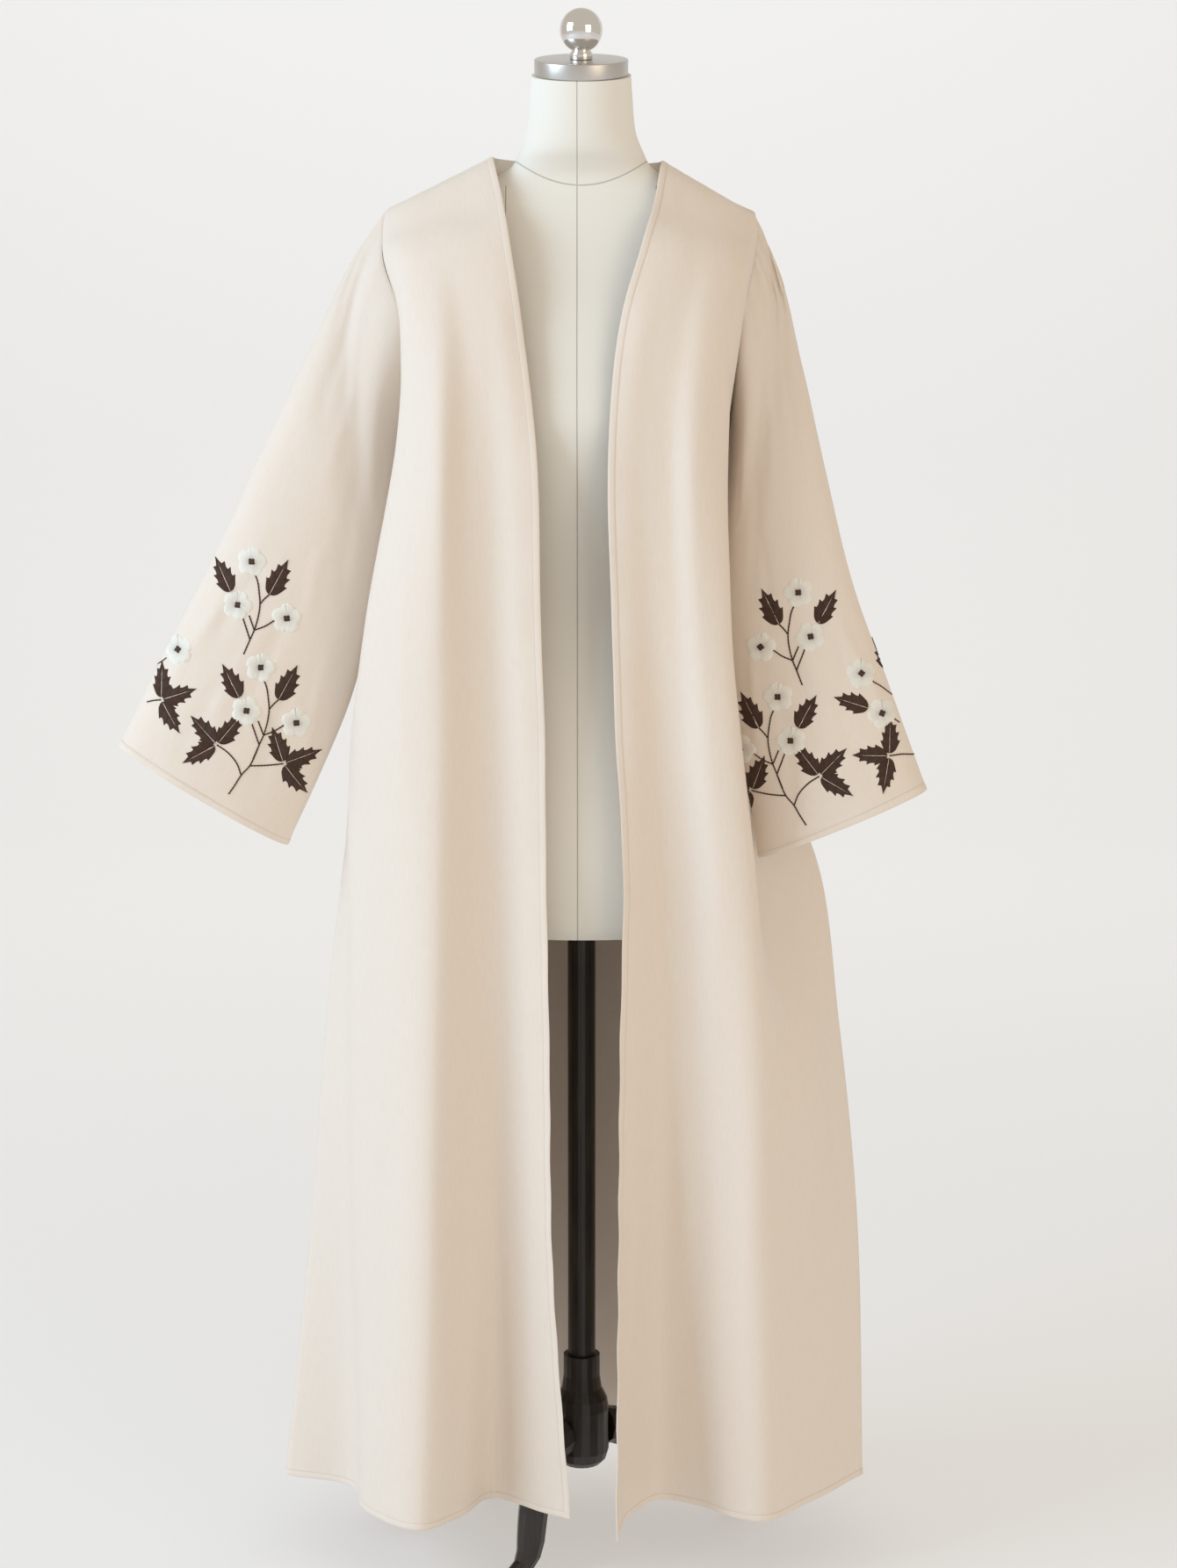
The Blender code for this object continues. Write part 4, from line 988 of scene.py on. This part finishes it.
def addFlower(cream, brown, side, behind, flip, x, z, start):
    # five joined petals of stitches that run outwards, and a small dark middle
    count = stitching["petalSpokes"]
    angle = np.arange(count) * 2 * math.pi / count
    lobe = abs(np.cos(2.5 * (angle + start)))
    edge = stitching["flowerRadius"] * (0.77 + 0.23 * lobe ** 0.7 + 0.022 * np.sin(17 * angle + start * 5))
    share = np.array(stitching["petalShares"])
    rise = np.array(stitching["petalHeights"])
    around = np.stack([np.sin(angle), np.cos(angle)], 1)
    flat = around[None] * edge[None, :, None] * share[:, None, None]
    heights = rise[:, None] * np.where(rise[:, None] > 0, 0.7 + 0.3 * lobe[None] ** 0.5, 1)
    turn = np.tile(angle * stitching["flowerRadius"] * 0.7 * mm, len(share))
    uv = np.column_stack([turn, np.repeat(share * stitching["flowerRadius"] * mm, count)])
    faces = gridFaces(len(share), count, True)
    places = turned(flat.reshape(-1, 2), 0, flip, x, z)
    cream.patch(side, behind, places, heights.ravel(), uv, faces, flip > 0)
    core = 3.9 * (1 + 0.16 * np.cos(4 * angle + start * 3))
    shares = np.array((0.02, 0.45, 0.8, 1.0))
    flat = around[None] * core[None, :, None] * shares[:, None, None]
    heights = np.repeat((2.0, 1.9, 1.5, 0.3), count)
    uv = np.column_stack([flat[..., 0].ravel() * mm, flat[..., 1].ravel() * mm])
    places = turned(flat.reshape(-1, 2), 0, flip, x, z)
    brown.patch(side, behind, places, heights, uv, gridFaces(len(shares), count, True), flip > 0)


def addStem(brown, side, behind, points):
    # a run of short twisted stitches along a smooth line
    points = np.asarray(points, float)
    knots = np.concatenate([[0], np.cumsum(np.linalg.norm(np.diff(points, axis=0), axis=1))])
    at = np.arange(0, knots[-1], stitching["stemStep"])
    line = through(knots, points, at)
    found = [onSleeve(side, x, z, behind) for x, z in line]
    spots = np.array([hit + normal * 0.25 * mm for hit, normal in found])
    up = np.array([normal for _, normal in found])
    along = unit(np.gradient(spots, axis=0))
    sideways = unit(np.cross(along, up))
    twist = (at / stitching["stemPitch"]) % 1
    thick = stitching["stemRadius"] * mm * (0.68 + 0.42 * np.sin(math.pi * twist) ** 0.6)
    sides = 6
    ring = np.arange(sides) * 2 * math.pi / sides
    tube = (spots[:, None] + thick[:, None, None] * (np.cos(ring)[None, :, None] * sideways[:, None]
                                                   + 0.8 * np.sin(ring)[None, :, None] * up[:, None]))
    first = len(brown.points)
    brown.points.extend(tube.reshape(-1, 3))
    uv = np.column_stack([np.repeat(at * mm, sides), np.tile(ring * mm, len(at))])
    for face in gridFaces(len(at), sides, True):
        brown.faces.append([first + k for k in face])
        brown.uvs.extend(uv[k] for k in face)


def addThree(brown, side, behind, flip, x, z, headings, length):
    for heading in headings:
        start = turned([(0, 2.6)], heading, flip, x, z)[0]
        addLeaf(brown, side, behind, flip, start[0], start[1], heading, length)


def addSprig(cream, brown, side, behind, flip, x, z, turn, leafyFoot):
    parts = [sprigTop] + ([sprigFoot] if leafyFoot else [])
    for part in parts:
        for place in part.get("flowers", ()):
            at = turned([place], turn, flip, x, z)[0]
            addFlower(cream, brown, side, behind, flip, at[0], at[1], (at[0] * 0.37 + at[1] * 0.11) % 1.3)
        for across, up, heading, length in part.get("leaves", ()):
            at = turned([(across, up)], turn, flip, x, z)[0]
            addLeaf(brown, side, behind, flip, at[0], at[1], heading + turn, length)
        for across, up, headings, length in part.get("threes", ()):
            at = turned([(across, up)], turn, flip, x, z)[0]
            headings = [heading + turn for heading in headings]
            addThree(brown, side, behind, flip, at[0], at[1], headings, length)
        for stem in part["stems"]:
            addStem(brown, side, behind, turned(stem, turn, flip, x, z))


stitching = {
    "leafSpokes": 58,
    "leafHeights": (-0.1, 0.8, 1.0, 0.9, 0.6, -0.3),  # mm over the cloth, from the rib to the edge
    "petalSpokes": 75,
    "petalShares": (0.05, 0.25, 0.5, 0.75, 0.92, 1.0),
    "petalHeights": (0.8, 1.25, 1.4, 1.2, 0.8, -0.3),
    "flowerRadius": 16.2,
    "stemStep": 0.5,
    "stemPitch": 3.4,
    "stemRadius": 0.78,
}
for side, plan in sprigs.items():
    cream, brown = Stitches(), Stitches()
    flip = plan["flip"]
    for behind, key in ((False, "front"), (True, "back")):
        for x, z, turn, leafyFoot in plan[key]:
            addSprig(cream, brown, side, behind, flip, x, z, turn, leafyFoot)
    loose = edgeMotifs[side]
    for x, z in loose["flowers"]:
        addFlower(cream, brown, side, False, 1, x, z, (x * 0.37) % 1.3)
    for x, z, heading, length in loose["leaves"]:
        addLeaf(brown, side, False, 1, x, z, heading, length)
    for x, z, heading, length in loose["threes"]:
        addThree(brown, side, False, 1, x, z, heading, length)
    for stem in loose["stems"]:
        addStem(brown, side, False, stem)
    brown.build("embroideryBrown" + side, brownThread)
    cream.build("embroideryCream" + side, creamThread)
print("embroidery made")

# Camera, floor and light
camera = bpy.data.cameras.new("camera")
camera.lens = 65
camera.sensor_fit = "VERTICAL"
camera.sensor_height = 36
cameraObject = bpy.data.objects.new("camera", camera)
cameraObject.location = (axis[0] + 0.0075, axis[1] - 3.0, 1.31)
cameraObject.rotation_euler = (math.radians(90 - 8.3), 0, 0)
bpy.context.scene.collection.objects.link(cameraObject)
bpy.context.scene.camera = cameraObject

studio = {
    "floorColour": (0.355, 0.385, 0.415),
    "floorGlow": (0.46, 0.43, 0.40),
    "keyEnergy": 113,
    "keyColour": (0.62, 0.81, 1.0),
    "fillEnergy": 24,
    "fillColour": (1.0, 0.83, 0.64),
    "backdropEnergy": 60,
    "worldColour": (1.0, 0.91, 0.785),
    "worldStrength": 0.62,
}


def sweepFloor():
    bpy.ops.mesh.primitive_plane_add(size=1, location=(axis[0], 0, 0))
    floor = bpy.context.object
    floor.name = "studioFloor"
    bpy.ops.object.mode_set(mode="EDIT")
    bpy.ops.transform.resize(value=(16, 12, 1))
    bpy.ops.transform.translate(value=(0, -1.4, 0))
    bpy.ops.object.mode_set(mode="OBJECT")
    mesh = floor.data
    work = bmesh.new()
    work.from_mesh(mesh)
    rearEdge = max(work.edges, key=lambda e: sum(v.co.y for v in e.verts))
    edge = rearEdge
    for step in range(1, 13):
        angle = step / 12 * math.pi / 2
        found = bmesh.ops.extrude_edge_only(work, edges=[edge])
        edge = next(e for e in found["geom"] if isinstance(e, bmesh.types.BMEdge))
        for vert in edge.verts:
            vert.co.y = 4.6 + 1.1 * math.sin(angle)
            vert.co.z = 1.1 * (1 - math.cos(angle))
    found = bmesh.ops.extrude_edge_only(work, edges=[edge])
    for item in found["geom"]:
        if isinstance(item, bmesh.types.BMVert):
            item.co.z = 6.0
    work.to_mesh(mesh)
    work.free()
    mesh.shade_smooth()
    bpy.ops.object.transform_apply(location=True, rotation=True, scale=True)
    glow = {"Emission Color": (*studio["floorGlow"], 1), "Emission Strength": 1}
    paper = newMaterial("studio paper", studio["floorColour"], 0.9, **glow)
    floor.data.materials.append(paper)
    floor.select_set(False)
    return floor


def areaLight(name, place, aim, size, energy, colour):
    data = bpy.data.lights.new(name, "AREA")
    data.shape = "RECTANGLE"
    data.size, data.size_y = size
    data.energy = energy
    data.color = colour
    lamp = bpy.data.objects.new(name, data)
    lamp.location = place
    lamp.rotation_euler = (Vector(aim) - Vector(place)).to_track_quat("-Z", "Y").to_euler()
    bpy.context.scene.collection.objects.link(lamp)
    return lamp


floor = sweepFloor()
areaLight("keyLight", (-3.4, -1.7, 2.4), (0, 0, 0.95), (2.2, 2.4), studio["keyEnergy"], studio["keyColour"])
areaLight("backdropLight", (0, 3.3, 3.8), (0, 5.7, 1.2), (6.0, 1.2), studio["backdropEnergy"], (1, 1, 1))
areaLight("fillLight", (2.4, -3.0, 1.7), (0, 0, 0.9), (2.0, 2.4), studio["fillEnergy"], studio["fillColour"])
world = bpy.data.worlds.new("studio")
bpy.context.scene.world = world
world.use_nodes = True
world.node_tree.nodes["Background"].inputs["Color"].default_value = (*studio["worldColour"], 1)
world.node_tree.nodes["Background"].inputs["Strength"].default_value = studio["worldStrength"]
bpy.context.scene.view_settings.view_transform = "Standard"
print("camera, floor and lights set")

bpy.context.view_layer.update()
